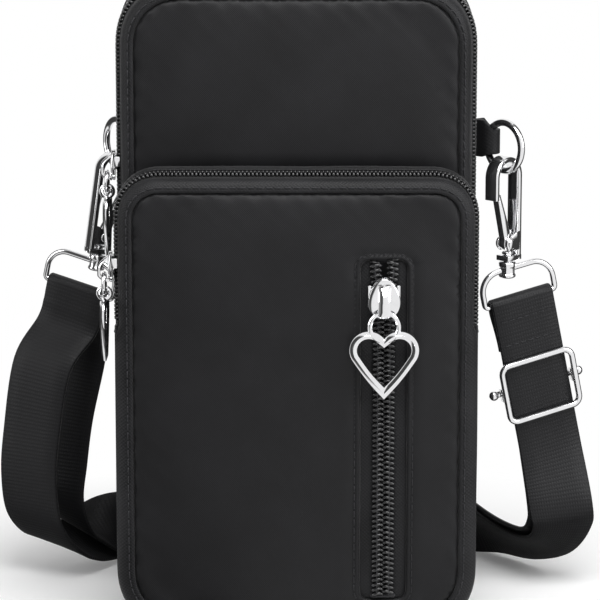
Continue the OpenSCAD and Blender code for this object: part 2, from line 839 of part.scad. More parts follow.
// lean is the bore's tilt from square to the post, so that the loop's wire runs straight through it
module swivel(lean) {
    color(chrome)
    difference() {
        union() {
            translate([0, 0, -move_gap - eye_h]) cylinder(r = eye_w / 2, h = eye_h);
            translate([0, 0, -move_gap - bite]) cylinder(r = post_r, h = base_t + 2 * move_gap + 2 * bite);
            translate([0, 0, base_t + move_gap]) cylinder(r = post_head_r, h = post_head_t);
        }
        translate([0, 0, eye_z]) rotate([0, 90 + lean, 0]) translate([0, 0, -eye_w])
            cylinder(r = eye_bore_r, h = 2 * eye_w);
    }
}

// Places of the hooks: base centre, tilt in the picture's plane and yaw about Z
hook_clear = 1.6;
wire_top_r = ring_r - ring_wire_r;
right_hook_tilt = 0;
left_hook_tilt = 8;
right_hook_yaw = 47;
left_hook_yaw = 25;
// How far the ring lies off the middle of the left hook's bow, and how much lower it hangs there
left_ring_off = 0.6;
left_ring_sag = 0.4;
drop = hook_h - hook_t - hook_clear;

// Base of a hook whose bow has a ring's lower wire at x from the swivel's axis and d above the base
function hung(ring, tilt, yaw, x, d) =
    [ring[0] - x * cos(yaw) * cos(tilt) - d * sin(tilt), ring[1] - x * sin(yaw),
     ring[2] - wire_top_r + x * cos(yaw) * sin(tilt) - d * cos(tilt)];

right_hook_at = hung(right_ring_at, right_hook_tilt, right_hook_yaw, -bow_x, drop);
left_hook_at = hung(left_ring_at, left_hook_tilt, left_hook_yaw, bow_x + left_ring_off,
                    drop - left_ring_sag);

module at_right_hook() {
    translate(right_hook_at) rotate([0, right_hook_tilt, 0]) rotate([0, 0, right_hook_yaw]) mirror([1, 0, 0])
        children();
}

module at_left_hook() {
    translate(left_hook_at) rotate([0, left_hook_tilt, 0]) rotate([0, 0, left_hook_yaw]) children();
}

module left_hook() {
    at_left_hook() hook();
}

module right_hook() {
    at_right_hook() hook();
}

module left_gate() {
    at_left_hook() gate();
}

module right_gate() {
    at_right_hook() gate();
}

module left_gate_pin() {
    at_left_hook() gate_pin();
}

module right_gate_pin() {
    at_right_hook() gate_pin();
}

module left_gate_spring() {
    at_left_hook() gate_spring();
}

module right_gate_spring() {
    at_right_hook() gate_spring();
}

// Strap loops: the bar's tilt and yaw, and how far the eye sits off the loop's middle
right_bar_tilt = -12;
right_bar_yaw = 20;
left_bar_tilt = 13;
left_bar_yaw = -23;
right_eye_off = -2.4;
left_eye_off = 4.2;
loop_drop = 10;
loop_in_w = web_w + 2 * move_gap;
loop_half = loop_in_w / 2 + loop_wire_r;
loop_top_r = 6;
loop_low_r = 1.2;

function eye_at(hook_at, tilt) =
    [hook_at[0] + eye_z * sin(tilt), hook_at[1], hook_at[2] + eye_z * cos(tilt)];

right_eye = eye_at(right_hook_at, right_hook_tilt);
left_eye = eye_at(left_hook_at, left_hook_tilt);
right_bar_at = placed(right_eye, right_bar_tilt, right_bar_yaw, [-right_eye_off, 0, -loop_drop]);
left_bar_at = placed(left_eye, left_bar_tilt, left_bar_yaw, [-left_eye_off, 0, -loop_drop]);

module arc_wire(r, wire_r, a0) {
    rotate([90, 0, 0]) rotate([0, 0, a0])
        rotate_extrude(angle = 90) translate([r, 0]) circle(wire_r, $fn = 24);
}

module straight_wire(from, to, wire_r) {
    v = to - from;
    translate(from) rotate([0, atan2(norm([v[0], v[1]]), v[2]), atan2(v[1], v[0])])
        cylinder(r = wire_r, h = norm(v), $fn = 24);
}

// D-shaped wire loop whose bar runs along X at the origin
module wire_loop() {
    w = loop_wire_r;
    color(chrome) {
        straight_wire([-loop_half + loop_low_r, 0, 0], [loop_half - loop_low_r, 0, 0], w);
        straight_wire([-loop_half + loop_top_r, 0, loop_drop], [loop_half - loop_top_r, 0, loop_drop], w);
        for (side = [-1, 1])
            straight_wire([side * loop_half, 0, loop_low_r],
                          [side * loop_half, 0, loop_drop - loop_top_r], w);
        translate([loop_half - loop_top_r, 0, loop_drop - loop_top_r]) arc_wire(loop_top_r, w, 0);
        translate([-loop_half + loop_top_r, 0, loop_drop - loop_top_r]) arc_wire(loop_top_r, w, 90);
        translate([-loop_half + loop_low_r, 0, loop_low_r]) arc_wire(loop_low_r, w, 180);
        translate([loop_half - loop_low_r, 0, loop_low_r]) arc_wire(loop_low_r, w, 270);
    }
}

module at_right_bar() {
    translate(right_bar_at) rotate([0, right_bar_tilt, right_bar_yaw]) children();
}

module at_left_bar() {
    translate(left_bar_at) rotate([0, left_bar_tilt, left_bar_yaw]) children();
}

module left_strap_loop() {
    at_left_bar() wire_loop();
}

module right_strap_loop() {
    at_right_bar() wire_loop();
}

module left_swivel() {
    translate(left_hook_at) rotate([0, left_hook_tilt, 0]) rotate([0, 0, left_bar_yaw])
        swivel(left_bar_tilt - left_hook_tilt);
}

module right_swivel() {
    translate(right_hook_at) rotate([0, right_hook_tilt, 0]) rotate([0, 0, right_bar_yaw])
        swivel(right_bar_tilt - right_hook_tilt);
}

// Webbing

fold_in_r = loop_wire_r + 0.1;
fold_mid_r = fold_in_r + web_t / 2;
// Length of webbing between rounding stations
web_steps = 4;

function blend_point(a, b, c, d, t) =
    b + (c - a) * t / 2 + (a - 5 * b / 2 + 2 * c - d / 2) * t * t
    + (3 * b - a - 3 * c + d) * t * t * t / 2;

// Smooth stations through a list of [x, y, z, width x, width y, width z]
function smooth(s) =
    concat([for (i = [0:len(s) - 2]) for (k = [0:web_steps - 1])
            blend_point(s[max(i - 1, 0)], s[i], s[i + 1], s[min(i + 2, len(s) - 1)], k / web_steps)],
           [s[len(s) - 1]]);

function station(s, dir) =
    let (w = unit([s[3], s[4], s[5]]), c = [s[0], s[1], s[2]], nrm = unit(cross(dir, w)),
         a = w * web_w / 2, b = nrm * web_t / 2)
    [c - a - b, c + a - b, c + a + b, c - a + b];

// Flat webbing through the stations
module webbing(stations) {
    s = smooth(stations);
    n = len(s);
    centre = [for (q = s) [q[0], q[1], q[2]]];
    pts = [for (i = [0:n - 1]) for (p = station(s[i], centre[min(i + 1, n - 1)] - centre[max(i - 1, 0)])) p];
    sides = [for (i = [0:n - 2]) for (j = [0:3])
             let (a = 4 * i + j, b = 4 * i + (j + 1) % 4) [[a, b + 4, b], [a, a + 4, b + 4]]];
    polyhedron(points = pts,
               faces = concat([[0, 1, 2, 3]], [for (pair = sides) for (f = pair) f],
                              [[4 * n - 1, 4 * n - 2, 4 * n - 3, 4 * n - 4]]));
}

// Half tube round a bar with a straight run on each side, in the bar's frame
module bar_fold(in_r, front_run, rear_run) {
    out_r = in_r + web_t;
    translate([-web_w / 2, 0, 0]) rotate([90, 0, 90]) linear_extrude(web_w) {
        difference() {
            circle(out_r);
            circle(in_r);
            translate([-2 * out_r, -2 * out_r]) square([4 * out_r, 2 * out_r]);
        }
        translate([-out_r, -front_run]) square([web_t, front_run]);
        translate([in_r, -rear_run]) square([web_t, rear_run]);
    }
}

fold_run = 3;
sewn_run = 14;
// How far the straight webbing runs down from the right bar, past the adjuster
straight_run = 47;

function left_at(p) = placed(left_bar_at, left_bar_tilt, left_bar_yaw, p);
function right_at(p) = placed(right_bar_at, right_bar_tilt, right_bar_yaw, p);
function with_width(p, w) = concat(p, w);
left_w = turned(left_bar_tilt, left_bar_yaw, [1, 0, 0]);
right_w = turned(right_bar_tilt, right_bar_yaw, [1, 0, 0]);

// Height of the middle of webbing that stands on its edge
fold_z = web_w / 2 + 2 * move_gap;

// Routes of the webbing's middle, with the direction of its width, chosen by hand for this width of bag
route_w = 105;

function at_width(route) = [for (q = route) [q[0] * bag_w / route_w, q[1], q[2], q[3], q[4], q[5]]];

left_front_route = concat([
    with_width(left_at([0, -fold_mid_r, -fold_run - 3 * seam_gap]), left_w),
    with_width(left_at([0, -fold_mid_r, -2 * fold_run]), left_w),
    with_width(left_at([-0.5, -fold_mid_r - 0.6, -4 * fold_run]), left_w)],
    at_width([
    [-76, 30, 68, 0.86, -0.45, -0.14],
    [-80.5, 28.5, 47, 0.86, -0.48, -0.03],
    [-81.5, 28.5, 33, 0.86, -0.48, 0],
    [-80, 30.5, 21, 0.85, -0.5, -0.1],
    [-75, 36, 11.5, 0.72, -0.58, -0.38],
    [-67, 45, 8.2, 0.56, -0.55, -0.62],
    [-59, 56.2, 8.9, 0.42, -0.4, -0.78],
    [-53.5, 60.4, 10.2, 0.1, -0.1, -0.99],
    [-50, 61.1, fold_z, 0, 0, -1]]));

left_rear_route = concat([
    with_width(left_at([0, fold_mid_r, -fold_run - 3 * seam_gap]), left_w),
    with_width(left_at([0, fold_mid_r, -2 * fold_run]), left_w),
    with_width(left_at([0.5, fold_mid_r + 0.6, -4 * fold_run]), left_w)],
    at_width([
    [-67, 41.5, 69, 0.86, -0.48, -0.1],
    [-71, 41, 50, 0.86, -0.48, -0.05],
    [-73, 41, 35, 0.86, -0.48, 0],
    [-73, 42, 24, 0.85, -0.5, -0.08],
    [-69.5, 46, 15.5, 0.7, -0.6, -0.36],
    [-63.5, 52, 12, 0.54, -0.54, -0.64],
    [-58.5, 54, 11.2, 0.42, -0.4, -0.8],
    [-53.5, 57.4, 10.8, 0.1, -0.1, -0.99],
    [-50, 58.1, fold_z, 0, 0, -1]]));

module left_strap_front() {
    color(cloth_dark) {
        at_left_bar() bar_fold(fold_in_r, fold_run, fold_run);
        webbing(left_front_route);
    }
}

module left_strap_rear() {
    color(cloth_dark) webbing(left_rear_route);
}

// The rest of the strap lies folded on edge behind the bag, both layers side by side
function on_edge(x, y) = [x * bag_w / route_w, y, fold_z, 0, 0, -1];

folds_outer = [for (p = [[-49.8, 58.1], [-46.8, 58.6], [-43.5, 55.5], [-41.5, 46], [-37, 39], [-29, 36.6],
                         [-15, 36.5], [20, 36.5], [37, 36.5], [43.5, 38.4], [45.8, 43], [43.5, 47.6],
                         [37, 49.5], [0, 49.5], [-22, 49.5], [-28, 51.4], [-30, 56], [-28, 60.6],
                         [-22, 62.5], [0, 62.5], [30, 62.5], [46, 62.5]]) on_edge(p[0], p[1])];
folds_inner = [for (p = [[-49.8, 61.1], [-45.8, 61.4], [-41, 56.6], [-38.6, 47.2], [-34.5, 41.4],
                         [-27, 39.2], [-15, 39.1], [20, 39.1], [36, 39.1], [41, 40.3], [43, 43], [41, 45.7],
                         [36, 46.9], [0, 46.9], [-23, 46.9], [-30.5, 49.6], [-33, 56], [-30.5, 62.4],
                         [-23, 65.1], [0, 65.1], [30, 65.1], [46, 65.1]]) on_edge(p[0], p[1])];

module strap_folds() {
    color(cloth_dark) {
        webbing(folds_outer);
        webbing(folds_inner);
    }
}

right_front_route = concat([
    with_width(right_at([0, -fold_mid_r, -fold_run - 3 * seam_gap]), right_w),
    with_width(right_at([0, -fold_mid_r, -straight_run / 2]), right_w),
    with_width(right_at([0, -fold_mid_r, -straight_run]), right_w)],
    at_width([
    [79.8, 18.2, 27, 0.97, 0.22, 0.05],
    [80.5, 21.5, 19.5, 0.9, 0.4, -0.1],
    [77, 29, 12, 0.72, 0.56, -0.4],
    [69, 41, 8.6, 0.55, 0.55, -0.63],
    [59.5, 54, 9, 0.42, 0.42, -0.8],
    [52, 61, 10.3, 0.1, 0.1, -0.99],
    [46.2, 62.5, fold_z, 0, 0, -1]]));

right_rear_route = concat([
    with_width(right_at([0, -fold_mid_r + 2.6, -straight_run + 2]), right_w)],
    at_width([
    [77.4, 21.2, 29.5, 0.96, 0.25, 0.05],
    [77.2, 24.4, 21.2, 0.9, 0.4, -0.1],
    [74.5, 30.5, 14.5, 0.72, 0.56, -0.4],
    [67.5, 42.5, 11.4, 0.55, 0.55, -0.63],
    [59.2, 57, 10.9, 0.42, 0.42, -0.8],
    [52, 64, 10.7, 0.1, 0.1, -0.99],
    [46.2, 65.1, fold_z, 0, 0, -1]]));

module right_strap_front() {
    color(cloth_dark) {
        at_right_bar() bar_fold(fold_in_r, fold_run, sewn_run);
        webbing(right_front_route);
    }
}

module right_strap_rear() {
    color(cloth_dark) webbing(right_rear_route);
}

// Adjuster in its own frame: its middle on the webbing's middle plane, the outside is -Y
adjuster_drop = 27;
adjuster_corner_r = 3;
bar_y = web_t / 2 + move_gap + adjuster_wire_r;
side_x = adjuster_w / 2 - adjuster_wire_r;
side_z = adjuster_h / 2 - adjuster_wire_r;
ball_r = 1.5;
// The strap's end runs down this far on each side of the adjuster's bar
end_front_run = 6;
end_rear_run = 8;

module at_adjuster() {
    translate(right_at([0, -fold_mid_r, -adjuster_drop]))
        rotate([0, right_bar_tilt, right_bar_yaw]) children();
}

module adjuster_frame() {
    w = adjuster_wire_r;
    c = adjuster_corner_r;
    color(chrome)
    at_adjuster() translate([0, -bar_y, 0]) {
        for (side = [-1, 1]) {
            straight_wire([-side_x + c, 0, side * side_z], [side_x - c, 0, side * side_z], w);
            straight_wire([side * side_x, 0, -side_z + c], [side * side_x, 0, side_z - c], w);
            translate([side * side_x - w, 0, -2 * w]) cube([2 * w, 2 * bar_y - w, 4 * w]);
        }
        translate([side_x - c, 0, side_z - c]) arc_wire(c, w, 0);
        translate([-side_x + c, 0, side_z - c]) arc_wire(c, w, 90);
        translate([-side_x + c, 0, -side_z + c]) arc_wire(c, w, 180);
        translate([side_x - c, 0, -side_z + c]) arc_wire(c, w, 270);
    }
}

module adjuster_bar() {
    reach = side_x + adjuster_wire_r + ball_r;
    color(chrome)
    at_adjuster() translate([0, bar_y + seam_gap, 0]) {
        straight_wire([-reach, 0, 0], [reach, 0, 0], adjuster_wire_r);
        for (side = [-1, 1]) translate([side * reach, 0, 0]) sphere(ball_r, $fn = 24);
    }
}

// The strap's other end is sewn round the adjuster's bar
module strap_bar_fold() {
    color(cloth_dark)
    at_adjuster() translate([0, bar_y + seam_gap, 0])
    difference() {
        bar_fold(adjuster_wire_r + seam_gap, end_front_run, end_rear_run);
        translate([-web_w, -bar_y - over, -3 * adjuster_wire_r - end_rear_run])
            cube([2 * web_w, over + move_gap + web_t / 2 - seam_gap, end_rear_run + 6 * adjuster_wire_r]);
    }
}

back_panel();
main_gusset();
main_zip_tape();
main_zip_coil();
lower_main_gusset();
divider_panel();
main_lining();
card_pocket();
rear_piping();
upper_front_panel();
upper_gusset();
upper_zip_tape();
upper_zip_coil();
front_gusset();
front_zip_tape();
front_zip_coil();
lower_front_gusset();
front_panel();
front_panel_top();
front_gusset_top();
front_zip_tape_top();
front_zip_coil_top();
pocket_zip_tape();
pocket_coil_left();
pocket_coil_right();
zip_stops();
pocket_lining();
main_slider();
main_pull_link();
main_heart_pull();
front_slider();
front_pull_link();
front_heart_pull();
pocket_slider();
pocket_heart_pull();
left_tab();
right_tab();
left_ring();
right_ring();
left_hook();
right_hook();
left_gate();
right_gate();
left_gate_pin();
right_gate_pin();
left_gate_spring();
right_gate_spring();
left_swivel();
right_swivel();
left_strap_loop();
right_strap_loop();
left_strap_front();
left_strap_rear();
strap_folds();
right_strap_front();
right_strap_rear();
strap_bar_fold();
adjuster_frame();
adjuster_bar();
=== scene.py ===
import math
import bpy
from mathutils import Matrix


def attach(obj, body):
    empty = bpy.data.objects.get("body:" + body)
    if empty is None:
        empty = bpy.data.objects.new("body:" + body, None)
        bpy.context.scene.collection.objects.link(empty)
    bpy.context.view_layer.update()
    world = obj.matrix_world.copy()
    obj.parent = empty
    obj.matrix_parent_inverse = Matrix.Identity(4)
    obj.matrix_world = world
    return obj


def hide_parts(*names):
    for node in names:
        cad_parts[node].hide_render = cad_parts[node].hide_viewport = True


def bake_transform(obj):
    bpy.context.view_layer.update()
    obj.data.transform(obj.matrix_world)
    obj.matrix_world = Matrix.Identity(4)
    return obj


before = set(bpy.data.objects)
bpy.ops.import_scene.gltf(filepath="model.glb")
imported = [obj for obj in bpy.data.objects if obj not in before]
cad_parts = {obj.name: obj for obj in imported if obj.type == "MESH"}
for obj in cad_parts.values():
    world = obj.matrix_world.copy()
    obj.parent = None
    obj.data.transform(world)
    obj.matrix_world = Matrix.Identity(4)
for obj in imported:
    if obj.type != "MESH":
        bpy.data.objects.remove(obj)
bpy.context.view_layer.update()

from types import SimpleNamespace

import bpy
import numpy as np
from mathutils import Matrix, Vector, geometry

# Everything below is written in millimetres and turned into metres where a mesh is made.
MM = 0.001
TAU = 2 * math.pi
X = Vector((1, 0, 0))

# Driving sizes of the pouch
BAG_W = 105.0
BASE_R = 20.0
SEAM = 5.5  # how far a front seam lies inside the bag's outline
BACK_Y = 25.0
MAIN_CROWN, FRONT_CROWN = 3.0, 3.2
SLIDER_ROOM = 4.0
ZIP_END_Z = 90.0
GUSSET_INSET = 0.3
CLOTH_T, TAPE_CLOTH_T, LINING_T = 0.9, 0.5, 0.4
POCKET_X = 25.0
WINDOW_W, WINDOW_Z0, WINDOW_Z1 = 13.2, 11.0, 111.5
POCKET_SLIDER_Z = 100.8


def add_object(name, data):
    obj = bpy.data.objects.new(name, data)
    bpy.context.scene.collection.objects.link(obj)
    return obj


# Camera at the photograph's viewing angle
def add_camera():
    target = Vector((1.05, 0, 94.5)) * MM
    distance, elevation = 1.0, math.radians(12)
    sensor, focal_px, image_px = 36.0, 3418.0, 600.0
    data = bpy.data.cameras.new("camera")
    data.sensor_width = sensor
    data.lens = focal_px / image_px * sensor
    camera = add_object("camera", data)
    away = Vector((0, -math.cos(elevation), math.sin(elevation)))
    camera.location = target + away * distance
    camera.rotation_euler = away.to_track_quat("Z", "Y").to_euler()
    bpy.context.scene.camera = camera


add_camera()


# Materials
class Graph:
    """The node tree of a material or of the world."""

    def __init__(self, tree):
        self.nodes, self.links = tree.nodes, tree.links

    def feed(self, value, socket):
        """Set a number or a colour, or link another node's output."""
        if isinstance(value, (int, float)):
            socket.default_value = value
        elif isinstance(value, tuple):
            socket.default_value = (*value, 1)
        else:
            self.links.new(value, socket)

    def new(self, kind, values=(), output=0, **settings):
        """A new node's output. Its inputs are fed by place or by name."""
        node = self.nodes.new("ShaderNode" + kind)
        for key, value in settings.items():
            setattr(node, key, value)
        for key, value in values.items() if isinstance(values, dict) else enumerate(values):
            self.feed(value, node.inputs[key])
        return node.outputs[output]

    def math(self, operation, *values):
        return self.new("Math", values, operation=operation)

    def add(self, a, b):
        return self.math("ADD", a, b)

    def times(self, a, b):
        return self.math("MULTIPLY", a, b)

    def wave(self, a, rate):
        return self.math("SINE", self.times(a, rate))

    def noise(self, vector, scale, detail=3.0, rough=0.5):
        values = {"Scale": scale, "Detail": detail, "Roughness": rough, "Vector": vector}
        return self.new("TexNoise", values, "Fac")

    def span(self, factor, low, high):
        return self.new("MapRange", {"To Min": low, "To Max": high, "Value": factor}, "Result")

    def colours(self, factor, stops):
        """A colour ramp from (position, colour) pairs."""
        node = self.nodes.new("ShaderNodeValToRGB")
        elements = node.color_ramp.elements
        while len(elements) < len(stops):
            elements.new(0.5)
        for element, (position, colour) in zip(elements, stops):
            element.position = position
            element.color = (*colour, 1)
        self.links.new(factor, node.inputs["Fac"])
        return node.outputs["Color"]

    def ramp(self, factor, low, high):
        return self.colours(factor, ((0.3, low), (0.7, high)))

    def split(self, vector):
        x = self.new("SeparateXYZ", [vector], "X")
        return x, x.node.outputs["Y"]

    def surface(self, sockets, colour, rough, height, strength, depth):
        """Link a shader's colour, roughness and bump, which is depth millimetres deep."""
        bump = self.new("Bump", {"Strength": strength, "Distance": depth * MM, "Height": height}, "Normal")
        for key, value in (("Base Color", colour), ("Roughness", rough), ("Normal", bump)):
            self.feed(value, sockets[key])


def shader(name, colour, rough, metal=0.0, specular=0.5, sheen=0.0, sheen_rough=0.5):
    material = bpy.data.materials.new(name)
    material.use_nodes = True
    g = Graph(material.node_tree)
    sockets = g.nodes["Principled BSDF"].inputs
    for key, value in (("Base Color", colour), ("Roughness", rough), ("Metallic", metal),
                       ("Specular IOR Level", specular), ("Sheen Weight", sheen), ("Sheen Roughness", sheen_rough)):
        g.feed(value, sockets[key])
    return material, g, sockets


def weave_material(name, dark, light, rough, pitch, sheen, twill=False, depth=0.05, specular=0.2, weave_shading=0.0):
    """Woven cloth. A mesh's UV is in millimetres, and so is pitch, the thread spacing."""
    material, g, sockets = shader(name, light, rough, specular=specular, sheen=sheen, sheen_rough=0.45)
    uv = g.new("UVMap", (), "UV")
    u, v = g.split(uv)
    turn = TAU / pitch
    if twill:
        weave = g.add(g.wave(g.add(u, v), turn * 0.7), g.times(g.wave(u, turn * 2), 0.35))
    else:
        weave = g.times(g.wave(u, turn), g.wave(v, turn))
    blotch, fuzz = g.noise(uv, 0.05, 4.0, 0.6), g.noise(uv, 3.2, 2.0, 0.7)
    # Random blotches give the cloth's own tone; the weave pattern added on top follows the bump: painted highlight on
    # the raised threads and painted shade between them.
    tone_and_shading = g.add(blotch, g.times(weave, weave_shading))
    height = g.add(g.times(weave, 0.5), g.times(fuzz, 0.6))
    g.surface(sockets, g.ramp(tone_and_shading, dark, light), g.span(blotch, rough - 0.06, rough + 0.08), height, 0.6, depth)
    return material


def webbing_material():
    """Ribbed webbing: UV u runs across and v along, in millimetres."""
    material, g, sockets = shader("webbing", (0.01, 0.01, 0.0115), 0.5, specular=0.22, sheen=0.05)
    rib_pitch, warp_pitch = 1.15, 0.8
    uv = g.new("UVMap", (), "UV")
    u, v = g.split(uv)
    wobble = g.noise(uv, 0.4, 3.0, 0.6)
    rib = g.wave(g.add(v, g.times(wobble, 0.25)), TAU / rib_pitch)
    warp = g.wave(u, TAU / warp_pitch)
    height = g.add(g.times(rib, 0.35), g.times(g.times(rib, warp), 0.22))
    height = g.add(height, g.times(warp, 0.2))
    # The colour follows the ribs' height: painted highlight on the ridges and painted shade in the grooves between
    # them.
    colour = g.ramp(g.span(height, 0.35, 0.65), (0.0055, 0.0055, 0.0062), (0.0125, 0.0125, 0.0143))
    g.surface(sockets, colour, g.span(wobble, 0.42, 0.58), height, 0.45, 0.12)
    return material


def metal_material(name, colour, rough):
    material, g, sockets = shader(name, colour, rough, metal=1.0)
    where = g.new("TexCoord", (), "Object")
    wear = g.noise(where, 260.0, 4.0, 0.6)
    worn = g.ramp(wear, tuple(c * 0.93 for c in colour), colour)
    g.surface(sockets, worn, g.span(wear, rough * 0.7, rough * 1.5), g.noise(where, 900.0, 2.0), 0.06, 0.03)
    return material


def coil_material():
    material, g, sockets = shader("zip_coil", (0.012, 0.012, 0.013), 0.16, specular=0.6)
    wear = g.noise(g.new("TexCoord", (), "Object"), 900.0, 3.0)
    worn = g.ramp(wear, (0.007, 0.007, 0.0075), (0.016, 0.016, 0.017))
    g.surface(sockets, worn, g.span(wear, 0.11, 0.22), wear, 0.1, 0.04)
    return material


NYLON = weave_material("bag_nylon", (0.0058, 0.0058, 0.0064), (0.0092, 0.0092, 0.0103), 0.44, 0.42, 0.07,
                       twill=True)
TAPE = weave_material("zip_tape", (0.004, 0.004, 0.0045), (0.014, 0.014, 0.0155), 0.5, 1.05, 0.06, depth=0.12,
                      weave_shading=0.22)
LINING = weave_material("lining", (0.012, 0.012, 0.0135), (0.02, 0.02, 0.0225), 0.42, 0.5, 0.05, depth=0.03)
PIPING = weave_material("binding", (0.0035, 0.0035, 0.004), (0.008, 0.008, 0.009), 0.55, 0.8, 0.03, depth=0.1,
                        specular=0.12, weave_shading=0.2)
THREAD = weave_material("thread", (0.014, 0.014, 0.0155), (0.036, 0.036, 0.04), 0.5, 0.5, 0.1)
WEBBING = webbing_material()
COIL = coil_material()
CHROME = metal_material("chrome", (0.86, 0.86, 0.87), 0.07)
STEEL = metal_material("steel", (0.55, 0.55, 0.57), 0.22)


# Mesh making. A part is (verts, faces, uvs), in millimetres.
def add_mesh(name, part, material, smooth=True):
    verts, faces, uvs = part
    mesh = bpy.data.meshes.new(name)
    mesh.from_pydata([tuple(p) for p in np.asarray(verts, float) * MM], [], [tuple(f) for f in faces])
    layer = mesh.uv_layers.new(name="UVMap")
    loops = np.zeros(len(mesh.loops), int)
    mesh.loops.foreach_get("vertex_index", loops)
    layer.data.foreach_set("uv", np.asarray(uvs, float)[loops].ravel())
    mesh.validate()
    mesh.polygons.foreach_set("use_smooth", [smooth] * len(mesh.polygons))
    mesh.materials.append(material)
    return add_object(name, mesh)


def thicken(obj, thickness, offset=-1):
    mod = obj.modifiers.new("cloth", "SOLIDIFY")
    mod.thickness = thickness * MM
    mod.offset = offset
    mod.use_even_offset = False
    return obj


def soften(obj, width, angle=35):
    mod = obj.modifiers.new("edges", "BEVEL")
    mod.width = width * MM
    mod.segments = 2
    mod.limit_method = "ANGLE"
    mod.angle_limit = math.radians(angle)
    mod.harden_normals = False


def stand_for(obj, nodes=()):
    if nodes:
        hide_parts(*nodes)
    return obj


def place(obj, body, nodes=()):
    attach(obj, body)
    return stand_for(obj, nodes)


def on_bag(obj):
    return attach(obj, "bag")


def main_bend(obj):
    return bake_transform(obj)


def front_bend(obj):
    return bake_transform(obj)


MAIN = SimpleNamespace(key="main", height=189.0, top_r=20.0, face_y=-5.0, coil_y=4.0, slider_z=134.0,
                       bend=main_bend)
FRONT = SimpleNamespace(key="front", height=136.0, top_r=14.0, face_y=-24.0, coil_y=-16.78, slider_z=108.0,
                        bend=front_bend)


def join(parts):
    verts, faces, uvs = [], [], []
    for part_verts, part_faces, part_uvs in parts:
        base = len(verts)
        verts.extend(part_verts)
        faces.extend([tuple(i + base for i in f) for f in part_faces])
        uvs.extend(part_uvs)
    return np.array(verts), faces, np.array(uvs)


def net(rows, cols, wrap_cols=True, wrap_rows=False, back=False):
    """Faces between rows of points. back turns them over."""
    faces = []
    for i in range(rows if wrap_rows else rows - 1):
        for k in range(cols if wrap_cols else cols - 1):
            here, ahead, k_next = i * cols, (i + 1) % rows * cols, (k + 1) % cols
            a, b, c, d = here + k, here + k_next, ahead + k_next, ahead + k
            faces.append((a, d, c, b) if back else (a, b, c, d))
    return faces


def caps(rows, cols):
    """The two end faces of a net that is closed round its columns."""
    return [tuple(range(cols - 1, -1, -1)), tuple(range((rows - 1) * cols, rows * cols))]


def turned_over(faces):
    return [f[::-1] for f in faces]


def at_depth(points, y):
    """Points in X and Z at a depth in Y, one for all or one for each."""
    return np.stack([points[:, 0], np.broadcast_to(y, len(points)), points[:, 1]], 1)


def arc(cx, cz, r, angles):
    return [(cx + r * math.cos(a), cz + r * math.sin(a)) for a in angles]


def unit(rows):
    return rows / np.linalg.norm(rows, axis=1)[:, None]


def arc_lengths(points, closed=True):
    steps = np.diff(np.vstack([points, points[:1]]) if closed else points, axis=0)
    return np.concatenate([[0], np.cumsum(np.linalg.norm(steps, axis=1))])


def sample(at, run, points):
    """Points of a line at places along its run."""
    return np.stack([np.interp(at, run, column) for column in points.T], -1)


def outward(points):
    ahead = unit(np.roll(points, -1, 0) - np.roll(points, 1, 0))
    return np.stack([ahead[:, 1], -ahead[:, 0]], 1)


def offset_line(line, distance):
    return line + outward(line) * distance


def resample(line, pitch):
    run = arc_lengths(line)
    n = max(8, int(round(run[-1] / pitch)))
    return sample(np.linspace(0, run[-1], n, endpoint=False), run, np.vstack([line, line[:1]]))


def outline(inset, c, sides=30, flats=22, corners=14):
    """A compartment's outline in X and Z, from the middle of the base, anticlockwise seen from the front."""
    half = BAG_W / 2 - inset
    low, high = inset - GUSSET_INSET, c.height - inset
    top, base = max(c.top_r - inset, 1.5), max(BASE_R - inset, 1.5)
    power = 2 / 2.25

    def corner_arc(cx, cz, r, start):
        points = []
        for i in range(corners + 1):
            a = math.radians(start + 90 * i / corners)
            c, s = math.cos(a), math.sin(a)
            points.append((cx + r * math.copysign(abs(c) ** power, c), cz + r * math.copysign(abs(s) ** power, s)))
        return points

    def line(a, b, n):
        return [(a[0] + (b[0] - a[0]) * i / n, a[1] + (b[1] - a[1]) * i / n) for i in range(1, n)]

    corner = [corner_arc(half - base, low + base, base, 270), corner_arc(half - top, high - top, top, 0),
              corner_arc(-half + top, high - top, top, 90), corner_arc(-half + base, low + base, base, 180)]
    points = [(0, low)] + line((0, low), corner[0][0], flats // 2) + corner[0]
    for k, count in ((0, sides), (1, flats), (2, sides)):
        points += line(corner[k][-1], corner[k + 1][0], count) + corner[k + 1]
    return np.array(points + line(corner[3][-1], (0, low), flats // 2))


def soft_noise(a, b, seed, scale):
    """Smooth sums of sines, the same each run, about -1 to 1."""
    rng = np.random.default_rng(seed)
    total = np.zeros(np.broadcast(a, b).shape)
    for _ in range(7):
        fa, fb, phase = rng.normal(0, 1, 2).tolist() + [rng.uniform(0, TAU)]
        total = total + np.sin((fa * a + fb * b) / scale + phase)
    return total / 3.2


# Which part of an outline a band has, by lowest and highest Z
EVERYWHERE = (-math.inf, math.inf)
ABOVE_ZIP_END = (ZIP_END_Z - 1, math.inf)
BELOW_ZIP_END = (-math.inf, ZIP_END_Z + 3)


